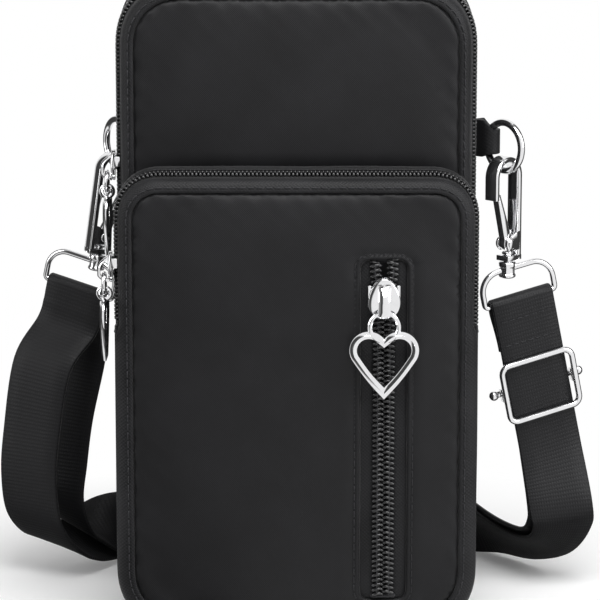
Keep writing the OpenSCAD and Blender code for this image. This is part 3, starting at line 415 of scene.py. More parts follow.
def band(name, c, section, reach, material, ripple=0.12, seed=1, thickness=CLOTH_T, plain=None):
    """A strip round the bag. section lists (y, inset), and plain its insets below the zip's ends if they differ."""
    base = outline(0, c)
    wanted = (base[:, 1] >= reach[0]) & (base[:, 1] <= reach[1])
    closed = bool(wanted.all())
    first = 0 if closed else next(i for i in range(len(base)) if wanted[i] and not wanted[i - 1])
    order = [(first + k) % len(base) for k in range(int(wanted.sum()))]
    run = arc_lengths(base[order], closed)[:len(order)]
    zipped = np.clip((base[:, 1] - ZIP_END_Z + 2.5) / 4, 0, 1)[:, None]
    verts, uvs = [], []
    travel = 0.0
    for k, (y, inset) in enumerate(section):
        if k:
            travel += math.dist(section[k], section[k - 1])
        line = outline(inset, c)
        if plain is not None:
            line = line * zipped + outline(plain[k], c) * (1 - zipped)
        lift = ripple * math.sin(math.pi * (k / (len(section) - 1))) * soft_noise(run, y, seed, 9.0)
        verts.append(at_depth(line[order] + outward(line)[order] * lift[:, None], y))
        uvs.append(np.stack([run, np.full(len(run), travel)], 1))
    faces = net(len(section), len(order), wrap_cols=closed, back=True)
    return thicken(add_mesh(name, (np.vstack(verts), faces, np.vstack(uvs)), material), thickness)


def near(points, line):
    """Distance from each point to a closed line."""
    best = np.full(len(points), 1e9)
    for p, q in zip(line, np.roll(line, -1, 0)):
        d = q - p
        t = np.clip(((points - p) @ d) / (d @ d), 0, 1)
        best = np.minimum(best, np.linalg.norm(points - (p + t[:, None] * d), axis=1))
    return best


def inside(points, line):
    x, z = points.T
    result = np.zeros(len(points), bool)
    for (x0, z0), (x1, z1) in zip(line, np.roll(line, -1, 0)):
        crosses = (z0 > z) != (z1 > z)
        with np.errstate(divide="ignore", invalid="ignore"):
            at = (x1 - x0) * (z - z0) / (z1 - z0) + x0
        result ^= crosses & (x < at)
    return result


def flat_panel(edge, seam_rings, grid, hole=None, hole_rings=()):
    """Points and triangles of a flat panel with an optional hole, finer beside its seams."""
    groups = [resample(edge, 2.4)]
    groups += [resample(offset_line(edge, -r), 2.4) for r in seam_rings]
    if hole is not None:
        groups.append(resample(hole, 1.1))
        groups += [resample(offset_line(hole, r), 1.3) for r in hole_rings]
    low, high = edge.min(0), edge.max(0)
    gx, gz = np.meshgrid(np.arange(low[0], high[0], grid), np.arange(low[1], high[1], grid))
    fill = np.stack([gx.ravel(), gz.ravel()], 1)
    keep = inside(fill, edge) & (near(fill, edge) > max(seam_rings) + grid * 0.6)
    if hole is not None:
        keep &= ~inside(fill, hole) & (near(fill, hole) > max(hole_rings) + grid * 0.6)
    groups.append(fill[keep])
    hole_group = None if hole is None else 1 + len(seam_rings)
    loops, base = [], 0
    for k, g in enumerate(groups):
        n = len(g)
        if k in (0, hole_group):
            loops += [(base + i, base + (i + 1) % n) for i in range(n)]
        base += n
    out = geometry.delaunay_2d_cdt([Vector(p) for p in np.vstack(groups)], loops, [], 0, 1e-5)
    verts = np.array([tuple(v) for v in out[0]])
    tris = np.array([tuple(f) for f in out[2] if len(f) == 3])
    centre = verts[tris].mean(1)
    good = inside(centre, groups[0])
    if hole is not None:
        good &= ~inside(centre, groups[hole_group])
    return verts, tris[good]


def pillow(points, edge, crown, roll=0.75, power=3.8):
    """How far a padded panel stands out: a broad crown and a tight roll in to its seam."""
    low, high = edge.min(0), edge.max(0)
    mid, half = (low + high) / 2, (high - low) / 2
    s = np.abs((points - mid) / half)
    gap = near(points, edge)
    swell = crown * (1 - np.clip((s[:, 0] ** power + s[:, 1] ** power), 0, 1))
    return swell - roll * np.exp(-gap / 0.9), gap


def pucker(points, gap, pitch, reach, size, seed):
    wave = np.sin(TAU * (points[:, 0] + points[:, 1]) / pitch + 1.6 * soft_noise(*points.T, seed, 12.0))
    return size * wave * np.exp(-gap / reach)


def panel(name, edge, seam_y, out_dir, crown, seed, hole=None, shape=None):
    """A padded front or back. out_dir is -1 where it faces the front."""
    points, tris = flat_panel(edge, (0.5, 1.1, 1.9, 3.0, 4.6), 2.4, hole, (0.45, 0.9, 1.35, 1.8, 2.3))
    lift, gap = pillow(points, edge, crown)
    lift += pucker(points, gap, 7.5, 4.5, 0.2, seed)
    lift += 0.38 * soft_noise(*points.T, seed + 1, 26.0) * (1 - np.exp(-gap / 8))
    if shape is not None:
        lift = shape(points, lift)
    faces = tris if out_dir < 0 else tris[:, ::-1]
    part = at_depth(points, seam_y + out_dir * lift), faces.tolist(), points
    return thicken(add_mesh(name, part, NYLON), CLOTH_T)


# Sweeps
def frames_along(path, closed):
    """Tangent, normal and side at each point of a path, carried along without twist."""
    tangent = unit(np.roll(path, -1, 0) - np.roll(path, 1, 0) if closed else np.gradient(path, axis=0))
    start = np.array([0, 0, 1.0]) if abs(tangent[0][2]) < 0.9 else np.array([1.0, 0, 0])
    normal = np.zeros_like(path)
    normal[0] = np.cross(tangent[0], start)
    normal[0] /= np.linalg.norm(normal[0])
    for i in range(1, len(path)):
        v = normal[i - 1] - tangent[i] * (normal[i - 1] @ tangent[i])
        normal[i] = v / np.linalg.norm(v)
    return tangent, normal, np.cross(tangent, normal)


def tube_part(path, radius, closed=False, sides=14):
    path = np.asarray(path, float)
    tangent, normal, side = frames_along(path, closed)
    run = arc_lengths(path, closed)
    verts, uvs, n = [], [], len(path)
    for i, p in enumerate(path):
        for k in range(sides):
            a = TAU * k / sides
            verts.append(p + radius * (math.cos(a) * normal[i] + math.sin(a) * side[i]))
            uvs.append((radius * a, run[i]))
    faces = net(n, sides, wrap_rows=closed)
    if not closed:
        for i, flip in ((0, True), (n - 1, False)):
            centre = len(verts)
            verts.append(path[i] + tangent[i] * (-0.5 if flip else 0.5) * radius)
            uvs.append((0, run[i]))
            for k in range(sides):
                a, b = i * sides + k, i * sides + (k + 1) % sides
                faces.append((b, a, centre) if flip else (a, b, centre))
    return verts, faces, uvs


def swept_part(path, section, across, normal, uv_of, over=False):
    """A closed section of (a, b) carried along a path, a along across and b along normal."""
    run = arc_lengths(path, closed=False)
    verts = [p + across[i] * a + normal[i] * b for i, p in enumerate(path) for a, b in section]
    uvs = [(uv_of(a, b), run[i]) for i in range(len(path)) for a, b in section]
    ends = caps(len(path), len(section))
    return verts, net(len(path), len(section), back=over) + (turned_over(ends) if over else ends), uvs


def slab_part(shape_xz, y0, y1):
    """A flat shape in X and Z, given anticlockwise from the front, as a closed block between two places in Y."""
    n = len(shape_xz)
    verts = [(x, y, z) for y in (y0, y1) for x, z in shape_xz]
    return verts, turned_over(caps(2, n)) + net(2, n, back=True), [(x, z) for x, _, z in verts]


def box_part(low, high):
    (x0, y0, z0), (x1, y1, z1) = low, high
    return slab_part([(x0, z0), (x1, z0), (x1, z1), (x0, z1)], y0, y1)


def disc_part(x, z, r, y0, y1, n=24):
    return slab_part(arc(x, z, r, [TAU * k / n for k in range(n)]), y0, y1)


def turned_part(profile, n=28):
    """Turned round the Z axis from (radius, z) pairs, closed at both ends."""
    verts = [(r * math.cos(TAU * k / n), r * math.sin(TAU * k / n), z) for r, z in profile for k in range(n)]
    return verts, net(len(profile), n) + caps(len(profile), n), [(v[0] + v[1], v[2]) for v in verts]


def moved(part, matrix):
    verts, faces, uvs = part
    m = np.array(matrix)
    points = np.asarray(verts, float) @ m[:3, :3].T + m[:3, 3]
    if np.linalg.det(m[:3, :3]) < 0:
        faces = [tuple(reversed(f)) for f in faces]
    return points.tolist(), faces, uvs


def shifted(x, y, z):
    return Matrix.Translation(Vector((x, y, z)))


def metal_piece(name, parts, matrix, body, node, edge=0.0, material=CHROME, slot="bright_metal", crease=None):
    obj = add_mesh(name, join([moved(p, matrix) for p in parts]), material)
    if edge:
        soften(obj, edge)
    if crease:
        mod = obj.modifiers.new("creases", "EDGE_SPLIT")
        mod.split_angle = math.radians(crease)
    place(obj, body, [node])


def stitches(name, points, ups, mount=on_bag, pitch=2.6, length=1.9, radius=0.17):
    """Short raised threads along a line of points with outward directions."""
    points, ups = np.asarray(points, float), np.asarray(ups, float)
    run = arc_lengths(points, closed=False)
    parts = []
    count = int(run[-1] / pitch)
    for k in range(count):
        middle = (k + 0.5) * run[-1] / count
        ends = []
        for t in np.linspace(-0.5, 0.5, 5):
            at = middle + t * length
            rise = radius * 0.9 * math.cos(math.pi * t) - radius * 0.35
            ends.append(sample(at, run, points) + sample(at, run, ups) * rise)
        parts.append(tube_part(ends, radius, sides=6))
    mount(add_mesh(name, join(parts), THREAD))


# Bag shell
def build_tapes(c, rear_node, front_node):
    tape = [(c.coil_y + 0.45, 1.62), (c.coil_y + 1.6, 1.62), (c.coil_y + 2.8, 1.6),
            (c.coil_y + SLIDER_ROOM + 0.3, 1.45)]
    look = dict(ripple=0.03, thickness=TAPE_CLOTH_T)
    place(band(c.key + "_tape_rear", c, tape, ABOVE_ZIP_END, TAPE, **look), "bag", [rear_node])
    tape = [(2 * c.coil_y - y, inset) for y, inset in reversed(tape)]
    c.bend(stand_for(band(c.key + "_tape_front", c, tape, ABOVE_ZIP_END, TAPE, **look), [front_node]))


def build_plain_gusset(c, seed):
    """The closed band below the zip's ends, with a groove where the zip would run."""
    low, mid, start = c.coil_y - SLIDER_ROOM, c.coil_y, c.coil_y + SLIDER_ROOM
    section = [(low - 0.1, 0.6), (low + 0.2, 0.3), (low + 2.4, 0.42), (mid - 0.35, 0.6), (mid, 1.05),
               (mid + 0.35, 0.6), (start - 2.4, 0.42), (start - 0.15, 0.35), (start + 0.1, 0.75)]
    place(band(c.key + "_plain_gusset", c, section, BELOW_ZIP_END, NYLON, seed=seed), "bag", ())


def build_slope(c, middle, last, plain_middle, seed, nodes):
    """The sloping band from the front seam to the zip. middle lists (y, inset) from the seam, last from the zip."""
    y, low = c.face_y, c.coil_y - SLIDER_ROOM
    section = [(y + 0.5, SEAM + 0.1), (y + 0.1, SEAM - 0.2), (y + 0.1, SEAM - 0.8)]
    section += [(y + ahead, inset) for ahead, inset in middle]
    section += [(low - last[0], last[1]), (low + 0.15, 1.55), (low + 0.3, 1.7)]
    plain = [SEAM + 0.1, SEAM - 0.2, SEAM - 0.8, SEAM - 2.1, *plain_middle, 0.35, 0.45, 0.95]
    skin = band(c.key + "_slope_skin", c, section, EVERYWHERE, TAPE, ripple=0.1, seed=seed, plain=plain)
    c.bend(stand_for(skin, nodes))


def build_seam_stitches(c, lowest_z):
    line = outline(SEAM - 1.5, c)
    normal = outward(line)
    order = np.where(line[:, 1] > lowest_z)[0]
    stitches(c.key + "_seam_stitches", at_depth(line[order], c.face_y + 0.18),
             at_depth(normal[order] * 0.3, -0.95), mount=c.bend)


def build_main_compartment():
    back = panel("back_skin", outline(1.55, MAIN), BACK_Y, 1, MAIN_CROWN, 11)
    stand_for(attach(back, "bag"), ["back_panel"])

    piping = tube_part(at_depth(outline(0.95, MAIN), BACK_Y - 0.35), 0.95, closed=True, sides=10)
    place(add_mesh("rear_binding", piping, PIPING), "bag", ["rear_piping"])

    start, end = MAIN.coil_y + SLIDER_ROOM, BACK_Y - 1.2
    section = [(start - 0.2, 0.9), (start, 0.35), (start + 1.3, 0.22), (start + 1.9, 0.42), (start + 2.6, 0.3)]
    section += [(start + 2.6 + (end - start - 4.2) * t, 0.3 + 0.55 * math.sin(math.pi * t))
                for t in (0.25, 0.5, 0.75)]
    section += [(end - 1.2, 0.3), (end, 0.7)]
    gusset = band("main_gusset_skin", MAIN, section, EVERYWHERE, NYLON, ripple=0.2, seed=21)
    place(gusset, "bag", ["main_gusset"])

    build_tapes(MAIN, "main_zip_tape", "upper_zip_tape")
    build_plain_gusset(MAIN, 5)
    build_slope(MAIN, [(0.5, SEAM - 1.9), (1.4, SEAM - 2.9), (2.8, 2.0)], (0.6, 1.7), (SEAM - 3.4, 1.15), 8,
                ["upper_gusset", "lower_main_gusset"])

    def settle(points, lift):
        hidden = np.clip((137.0 - points[:, 1]) / 8.0, 0, 1)
        return lift * (1 - hidden) - 0.4 * hidden

    front = panel("main_front_skin", outline(SEAM + 0.15, MAIN), MAIN.face_y, -1, MAIN_CROWN, 31, shape=settle)
    main_bend(stand_for(front, ["upper_front_panel", "divider_panel"]))
    build_seam_stitches(MAIN, 126)


def window_outline():
    half, r = WINDOW_W / 2, WINDOW_W / 6
    points = []
    for cx, cz, start in ((half - r, WINDOW_Z0 + r, 270), (half - r, WINDOW_Z1 - r, 0),
                          (-half + r, WINDOW_Z1 - r, 90), (-half + r, WINDOW_Z0 + r, 180)):
        points += arc(POCKET_X + cx, cz, r, [math.radians(start + 15 * i) for i in range(7)])
    return np.array(points)


WINDOW = resample(window_outline(), 1.0)
FRONT_EDGE = outline(SEAM + 0.15, FRONT)


def front_lift(points):
    return pillow(points, FRONT_EDGE, FRONT_CROWN)[0]


def front_lift_at(x, z):
    return front_lift(np.array([[x, z]]))[0]


def build_front_compartment():
    def hem(points, lift):
        d = near(points, WINDOW)
        lip = 0.42 * np.exp(-((d - 0.8) / 0.45) ** 2) - 0.5 * np.exp(-((d - 1.75) / 0.35) ** 2)
        return lift + lip + 0.16 * np.exp(-((d - 3.2) / 1.2) ** 2) - 0.55 * np.exp(-d / 0.35)

    front = panel("front_skin", FRONT_EDGE, FRONT.face_y, -1, FRONT_CROWN, 41, hole=WINDOW, shape=hem)
    front_bend(stand_for(front, ["front_panel", "front_panel_top"]))

    line = resample(offset_line(WINDOW, 1.75), 0.8)
    points = at_depth(line, FRONT.face_y - front_lift(line) + 0.2)
    points = np.vstack([points, points[:1]])
    stitches("window_stitches", points, np.tile([0, -1.0, 0], (len(points), 1)), pitch=2.5, length=1.7)

    build_slope(FRONT, [(0.45, SEAM - 1.9), (1.1, SEAM - 3.0), (2.0, 1.9)], (0.4, 1.65), (SEAM - 3.5, 0.9), 9,
                ["front_gusset_top", "lower_front_gusset"])
    build_tapes(FRONT, "front_zip_tape", "front_zip_tape_top")
    build_plain_gusset(FRONT, 6)

    start, end = FRONT.coil_y + SLIDER_ROOM, MAIN.face_y - 0.65
    rear = [(start - 0.2, 0.9), (start, 0.35), (start + 1.3, 0.22), (start + 1.9, 0.42), (start + 2.5, 0.3),
            (end - 2.7, 0.35), (end - 1.4, 1.4), (end - 0.5, 3.4), (end, SEAM + 0.6)]
    gusset = band("front_gusset_skin", FRONT, rear, EVERYWHERE, NYLON, seed=22)
    place(gusset, "bag", ["front_gusset"])
    build_seam_stitches(FRONT, -math.inf)


# Coils
def tooth_part(at, out, across, radius=0.38, reach=1.6, seat=0.3):
    """One turn of a side zip's coil: it rises off the tape, crosses its half and ends in a head at the middle."""
    steps = ((seat + reach, 0.1), (seat + reach * 0.85, 0.75), (seat + reach * 0.5, 1.05), (seat + 0.1, 1.15),
             (seat - 0.45, 0.8))
    return tube_part([at + across * off + out * rise for off, rise in steps], radius, sides=8)


def build_coil(c, name, side, node, mount, pitch=1.15):
    line = outline(1.6, c)
    order = np.where(line[:, 1] >= ZIP_END_Z)[0]
    path, normal = line[order], outward(line)[order]
    run = arc_lengths(path, closed=False)
    parts = []
    for k in range(int(run[-1] / pitch)):
        at = (k + (0.5 if side > 0 else 0.0) + 0.25) * pitch
        (x, z), (nx, nz) = sample(at, run, path), sample(at, run, normal)
        parts.append(tooth_part(np.array([x, c.coil_y, z]), np.array([nx, 0, nz]), np.array([0, side, 0.0])))
    mount(stand_for(add_mesh(name, join(parts), COIL), [node]))


def build_side_coils():
    build_coil(MAIN, "main_coil_rear", 1, "main_zip_coil", on_bag)
    build_coil(MAIN, "main_coil_front", -1, "upper_zip_coil", main_bend)
    build_coil(FRONT, "front_coil_rear", 1, "front_zip_coil", on_bag)
    build_coil(FRONT, "front_coil_front", -1, "front_zip_coil_top", front_bend)


POCKET_TAPE_OFF = 1.45  # how far the pocket's zip lies behind the panel's face


def zip_lift(x, z):
    """How far the pocket's zip stands out: straighter than the panel, so that the slider clears its tape."""
    lift = front_lift_at(x, z)
    return max(lift, min(2.75, lift + 0.6))


def zip_face(z):
    return FRONT.face_y - zip_lift(POCKET_X, z) + POCKET_TAPE_OFF


def spread_at(z):
    """How far each half of the pocket's coil stands off the middle: the halves part above the slider."""
    t = min(max((z - POCKET_SLIDER_Z - 1.5) / 6.0, 0), 1)
    return 0.9 * t * t * (3 - 2 * t)


def build_pocket_coil(side, key, pitch=1.5):
    parts = []
    for k in range(int((WINDOW_Z1 - WINDOW_Z0 - 1.4) / pitch)):
        z = WINDOW_Z0 + 1.6 + (k + (0.5 if side > 0 else 0)) * pitch
        off, face = spread_at(z), zip_face(z)
        path = []
        for t in np.linspace(0, 1, 9):
            across = side * (3.15 - 3.2 * t + off)
            rise = 1.15 * math.sin(math.pi * min(t * 0.72 + 0.12, 1)) ** 0.7
            slant = 0.75 * math.sin(math.pi * 0.5 * t) - 0.45 * max(t - 0.75, 0) / 0.25
            path.append((POCKET_X + across, face - 0.35 - rise, z + slant - 0.4))
        parts.append(tube_part(path, 0.42, sides=9))
        back = [(POCKET_X + side * (x + off), face - sunk, z + up)
                for x, sunk, up in ((0.5, 0.5, 0.45), (1.9, 0.3, 0.75), (3.1, 0.35, 0.9))]
        parts.append(tube_part(back, 0.38, sides=7))
    obj = add_mesh("pocket_coil_%s_turns" % key, join(parts), COIL)
    place(obj, "bag", ["pocket_coil_" + key])
    rail = [(POCKET_X + side * (1.75 + spread_at(z)), zip_face(z) - 1.62, z)
            for z in np.arange(WINDOW_Z0 + 1, WINDOW_Z1 - 1.5, 1.5)]
    place(add_mesh("pocket_coil_thread_" + key, tube_part(rail, 0.17, sides=6), THREAD), "bag")


def build_pocket_tape():
    parts = []
    rows = np.arange(WINDOW_Z0 - 1.0, WINDOW_Z1 + 1.2, 1.5)
    cols = (0.35, 1.2, 3.2, 5.5, 7.2, WINDOW_W / 2 + 2.3)
    for side in (-1, 1):
        verts, uvs = [], []
        for z in rows:
            for c in cols:
                x, at = POCKET_X + side * (c + (spread_at(z) if c < 4 else 0)), POCKET_X + side * c
                lift = zip_lift(at, z) if c < 6 else front_lift_at(at, z)
                verts.append((x, FRONT.face_y - lift + POCKET_TAPE_OFF + 0.1, z))
                uvs.append((x, z))
        faces = net(len(rows), len(cols), wrap_cols=False)
        parts.append((verts, faces if side > 0 else turned_over(faces), uvs))
    place(thicken(add_mesh("pocket_tape", join(parts), TAPE), TAPE_CLOTH_T), "bag", ["pocket_zip_tape"])


def build_zip_ends():
    bars = []
    for z, sunk in ((WINDOW_Z0 + 0.9, 0.9), (WINDOW_Z1 - 0.1, 1.9)):
        y = FRONT.face_y - front_lift_at(POCKET_X, z) + sunk
        bar = [(POCKET_X - 3.4, y, z), (POCKET_X, y - 0.2, z), (POCKET_X + 3.4, y, z)]
        bars.append(tube_part(bar, 0.75, sides=8))
    for c in (MAIN, FRONT):
        for side in (-1, 1):
            x, z = side * (BAG_W / 2 - 0.45), ZIP_END_Z - 0.8
            bars.append(tube_part([(x, c.coil_y - 1.9, z), (x, c.coil_y + 1.9, z)], 0.42, sides=8))
    place(add_mesh("zip_end_bars", join(bars), THREAD), "bag", ["zip_stops"])


def build_lining(name, points, tris, y, node):
    obj = add_mesh(name, (at_depth(points, y), tris.tolist(), points), LINING)
    place(thicken(obj, LINING_T), "bag", [node])


def build_pocket_zip():
    build_pocket_coil(-1, "left")
    build_pocket_coil(1, "right")
    build_pocket_tape()
    build_zip_ends()
    x0, x1 = POCKET_X - 33.5, POCKET_X + 12.8
    edge = np.array([(x0, WINDOW_Z0), (x1, WINDOW_Z0), (x1, WINDOW_Z1), (x0, WINDOW_Z1)])
    points, tris = flat_panel(resample(edge, 3), (1.0,), 4.0)
    y = FRONT.face_y - front_lift(points) + 4.6 + 0.3 * soft_noise(*points.T, 77, 11.0)
    build_lining("pocket_bag", points, tris, y, "pocket_lining")


def build_linings():
    edge = outline(2.1, MAIN)
    points, tris = flat_panel(edge, (1.2, 2.6), 4.0)
    y = 23.3 - 0.25 * soft_noise(*points.T, 51, 17.0) * (1 - np.exp(-near(points, edge) / 6)) - 0.1
    build_lining("back_lining", points, tris, y, "main_lining")

    parts = []
    half, base, sleeve_y = 36, 22, -4.2
    for k, top in enumerate((80.0, 71.0)):
        rows, cols = np.linspace(base, top, 14), np.linspace(-half, half, 25)
        verts = []
        for z in rows:
            for x in cols:
                share = (z - base) / (top - base)
                sag = 0.35 * (share ** 3) * (1 - (x / half) ** 2)
                verts.append((x, sleeve_y + 0.15 + k * 0.7 + sag, z))
        uvs = [(x, z) for x, _, z in verts]
        parts.append((verts, net(len(rows), len(cols), wrap_cols=False, back=True), uvs))
        hem = [(x, sleeve_y + 0.2 + k * 0.7 + 0.35 * (1 - (x / half) ** 2), top) for x in cols]
        parts.append(tube_part(hem, 0.32, sides=6))
    place(thicken(add_mesh("card_sleeves", join(parts), LINING), 0.3), "bag", ["card_pocket"])


# Sliders and pulls. A slider's own frame has the coil's face at y = 0, the outside along -Y and the zip along Z.
COIL_T, TAPE_T, PLAY = 1.6, 0.6, 0.3
PLATE_T, BRIDGE_RISE, BRIDGE_T, BRIDGE_CROWN = 1.0, 3.2, 0.8, 0.8


def egg(half_w, nose_r, length, n=18):
    """Slider plate: a wide round top and a narrower round nose, joined by straight flanks."""
    top, low = length / 2 - half_w, -length / 2 + nose_r
    lean = math.asin((half_w - nose_r) / (top - low))
    return (arc(0, top, half_w, [-lean + (math.pi + 2 * lean) * i / n for i in range(n + 1)])
            + arc(0, low, nose_r, [math.pi + lean + (math.pi - 2 * lean) * i / n for i in range(n + 1)]))


def oval(half_w, length, n=44):
    """Slider plate: an oval, fuller below its middle."""
    angles = [TAU * k / n for k in range(n)]
    return np.array([(half_w * math.cos(a) * (1 - 0.2 * math.sin(a)), length / 2 * math.sin(a)) for a in angles])


def dome_part(shape, y_face, bulge=0.35):
    """A slider's top plate, domed towards the outside."""
    cx, cz = shape.mean(0)
    edge = y_face - PLATE_T
    rings = [(1.0, y_face), (1.0, y_face - PLATE_T * 0.45), (0.97, y_face - PLATE_T * 0.8), (0.9, edge),
             (0.7, edge - bulge * 0.45), (0.4, edge - bulge * 0.85)]
    n = len(shape)
    verts = [(cx + (x - cx) * s, y, cz + (z - cz) * s) for s, y in rings for x, z in shape]
    faces = [(c, d, a, b) for a, b, c, d in net(len(rings), n)]
    last = (len(rings) - 1) * n
    faces += [(len(verts), last + j, last + (j + 1) % n) for j in range(n)]
    faces.append(tuple(range(n)))
    verts.append((cx, edge - bulge, cz))
    return verts, faces, [(v[0], v[2]) for v in verts]


def bridge_part(width, z0, z1, y_base):
    """The arched strap over a slider that holds its pull, rounded across."""
    n, across = 22, np.linspace(-1, 1, 9)
    verts = []
    for i in range(n + 1):
        t = i / n
        arch = min(1.0, 1.22 * math.sin(math.pi * t) ** 0.42) if 0 < t < 1 else 0.0
        arch = min(arch, math.sin(math.pi / 2 * min(1.0, (1 - t) / 0.5)) ** 0.9)
        z = z0 + (z1 - z0) * t
        inner_z = z0 + BRIDGE_T + (z1 - z0 - 2 * BRIDGE_T) * t
        face = y_base - BRIDGE_RISE * arch - BRIDGE_T * 0.2
        inner = y_base - (BRIDGE_RISE - BRIDGE_T + 0.25) * arch + 0.15
        verts += [(u * width / 2, face + BRIDGE_CROWN * u * u * (0.3 + 0.7 * arch), z) for u in across]
        verts += [(width / 2, inner, inner_z), (-width / 2, inner, inner_z)]
    ring = len(across) + 2
    return verts, net(n + 1, ring) + caps(n + 1, ring), [(v[0], v[2]) for v in verts]


def slider_parts(length, half_coil, bridge_w, play):
    flange = 0.55 + half_coil + PLAY
    half_w = flange + 0.8
    nose = half_w * 0.62
    inner_y = COIL_T + TAPE_T + play
    parts = [dome_part(oval(half_w, length), -PLAY),
             bridge_part(bridge_w, -length / 2, length * 0.36, -PLAY - PLATE_T),
             box_part((-0.25, -PLAY - 0.1, 0), (0.25, inner_y + 0.1, length / 4)),
             slab_part(egg(nose, nose * 0.8, length * 0.66), inner_y, inner_y + 1.0)]
    for side in (-1, 1):
        x0, x1 = sorted((side * flange, side * (flange + 0.8)))
        parts.append(box_part((x0, -PLAY - 0.1, 0), (x1, COIL_T - PLAY, length / 2 - half_w / 2)))
    return parts


HEART_W = 20.0
# How far inside the outer edge, and the depth, round the heart's rounded-V section
HEART_SECTION = [(0.3, 0.5), (0.08, 0.4), (0.0, 0.15), (0.0, -0.15), (0.1, -0.42), (0.38, -0.47), (1.15, -0.91),
                 (1.92, -0.47), (2.2, -0.42), (2.3, -0.15), (2.3, 0.15), (2.22, 0.4), (2.0, 0.5), (1.15, 0.95)]


def heart_outline(width, shrink, n=18):
    """Two lobes and a point, anticlockwise seen from the front, at a distance inside the outer edge."""
    lobe, depth = width * 0.28, width * 0.72
    cx = width / 2 - lobe
    r = lobe - shrink
    lean0 = math.atan2(cx, depth) + math.asin(lobe / math.hypot(cx, depth))
    tip = depth - shrink / math.sin(lean0)
    lean = math.atan2(cx, tip) + math.asin(r / math.hypot(cx, tip))
    top = math.pi - math.acos(cx / lobe)
    low, high = np.array([0.0, -tip]), np.array([cx + r * math.cos(-lean), r * math.sin(-lean)])
    out = np.array([high[1] - low[1], -(high[0] - low[0])])
    out /= np.linalg.norm(out)
    right = [tuple(low + (high - low) * t + out * 0.35 * math.sin(math.pi * t)) for t in np.linspace(0, 0.9, 8)]
    right += arc(cx, 0, r, np.linspace(-lean, top, n + 1)[:-1])
    right.append((0.0, math.sqrt(lobe ** 2 - cx ** 2) - 1.2 * shrink))
    return right + [(-x, z) for x, z in reversed(right[1:-1])]


def heart_part(centre_z):
    verts = np.array([(x, y, z) for shrink, y in HEART_SECTION for x, z in heart_outline(HEART_W, shrink)])
    rows = len(HEART_SECTION)
    return verts + np.array([0, 0, centre_z]), net(rows, len(verts) // rows, wrap_rows=True), verts[:, ::2]


def ring_part(centre, radius, u, wire, n=40, sides=12):
    """A closed ring of wire in the plane of u and Z."""
    v = np.array((0, 0, 1))
    angles = [TAU * i / n for i in range(n)]
    path = [np.array(centre) + radius * (math.cos(a) * np.array(u) + math.sin(a) * v) for a in angles]
    return tube_part(path, wire, closed=True, sides=sides)


def build_sliders():
    link_r, bail_r, wire = 2.8, 1.7, 0.65
    look = dict(crease=24)
    pull_y = -PLAY - 1.2 - 1.2
    for c in (MAIN, FRONT):
        slider, pull = c.key + "_slider", c.key + "_pull"
        at = shifted(-BAG_W / 2, c.coil_y, c.slider_z) @ Matrix.Rotation(math.radians(-90), 4, "Z")
        metal_piece(slider + "_body", slider_parts(9.0, 1.7, 2.2, 0.3), at, slider, slider, 0.22)
        pivot = at @ shifted(0, pull_y, -2.2)
        metal_piece(pull + "_ring", [ring_part((0, 0, -link_r), link_r, (1, 0, 0), wire)], pivot, pull,
                    pull + "_link")
        top = -2 * link_r + 2 * wire + 0.3
        parts = [ring_part((0, 0, top - bail_r), bail_r, (0, 1, 0), wire, n=28),
                 heart_part(top - 2 * bail_r - 4.0)]
        metal_piece(c.key + "_heart", parts, pivot, pull, c.key + "_heart_pull", **look)
    at = shifted(POCKET_X, FRONT.face_y - FRONT_CROWN + 1.2 - COIL_T, POCKET_SLIDER_Z)
    metal_piece("pocket_slider_body", slider_parts(12.0, 2.9, 3.6, 0.9), at, "pocket_slider", "pocket_slider", 0.22)
    parts = [ring_part((0, 0, -4.1), 4.1, (1, 0, 0), 0.72, n=36), heart_part(-6.8 - 4.0)]
    metal_piece("pocket_heart", parts, at @ shifted(0, pull_y, -3.7), "pocket_pull", "pocket_heart_pull", **look)


# Rings, hooks and strap loops, placed as the solids are
RING_R, RING_WIRE = 7.2, 1.1
HOOK_H, HOOK_W, HOOK_D, HOOK_T = 31.5, 12.0, 4.6, 1.6
SPINE_X, BOW_X = 3.9, 2.1
PIN_X, PIN_Z = 0.8, 5.2
HUB_R = 2.0
HOOK_CLEAR = 1.6
WEB_W, WEB_T = 20.0, 1.2
LOOP_WIRE, LOOP_DROP = 0.9, 10.0
EYE_Z = -0.3 - 2.5
RIGHT = SimpleNamespace(key="right", tab=(57.1, 22.6), tab_z=137.0, ring_yaw=-49, hook_tilt=0, hook_yaw=47,
                        bar_tilt=-12, bar_yaw=20, eye_off=-2.4, ring_x=-BOW_X, sag=0.0, mirror=-1)
LEFT = SimpleNamespace(key="left", tab=(-50.1, 29.3), tab_z=135.3, ring_yaw=122, hook_tilt=8, hook_yaw=25,
                       bar_tilt=13, bar_yaw=-23, eye_off=4.2, ring_x=BOW_X + 0.6, sag=0.4, mirror=1)


def turn(tilt, yaw):
    return Matrix.Rotation(math.radians(yaw), 4, "Z") @ Matrix.Rotation(math.radians(tilt), 4, "Y")


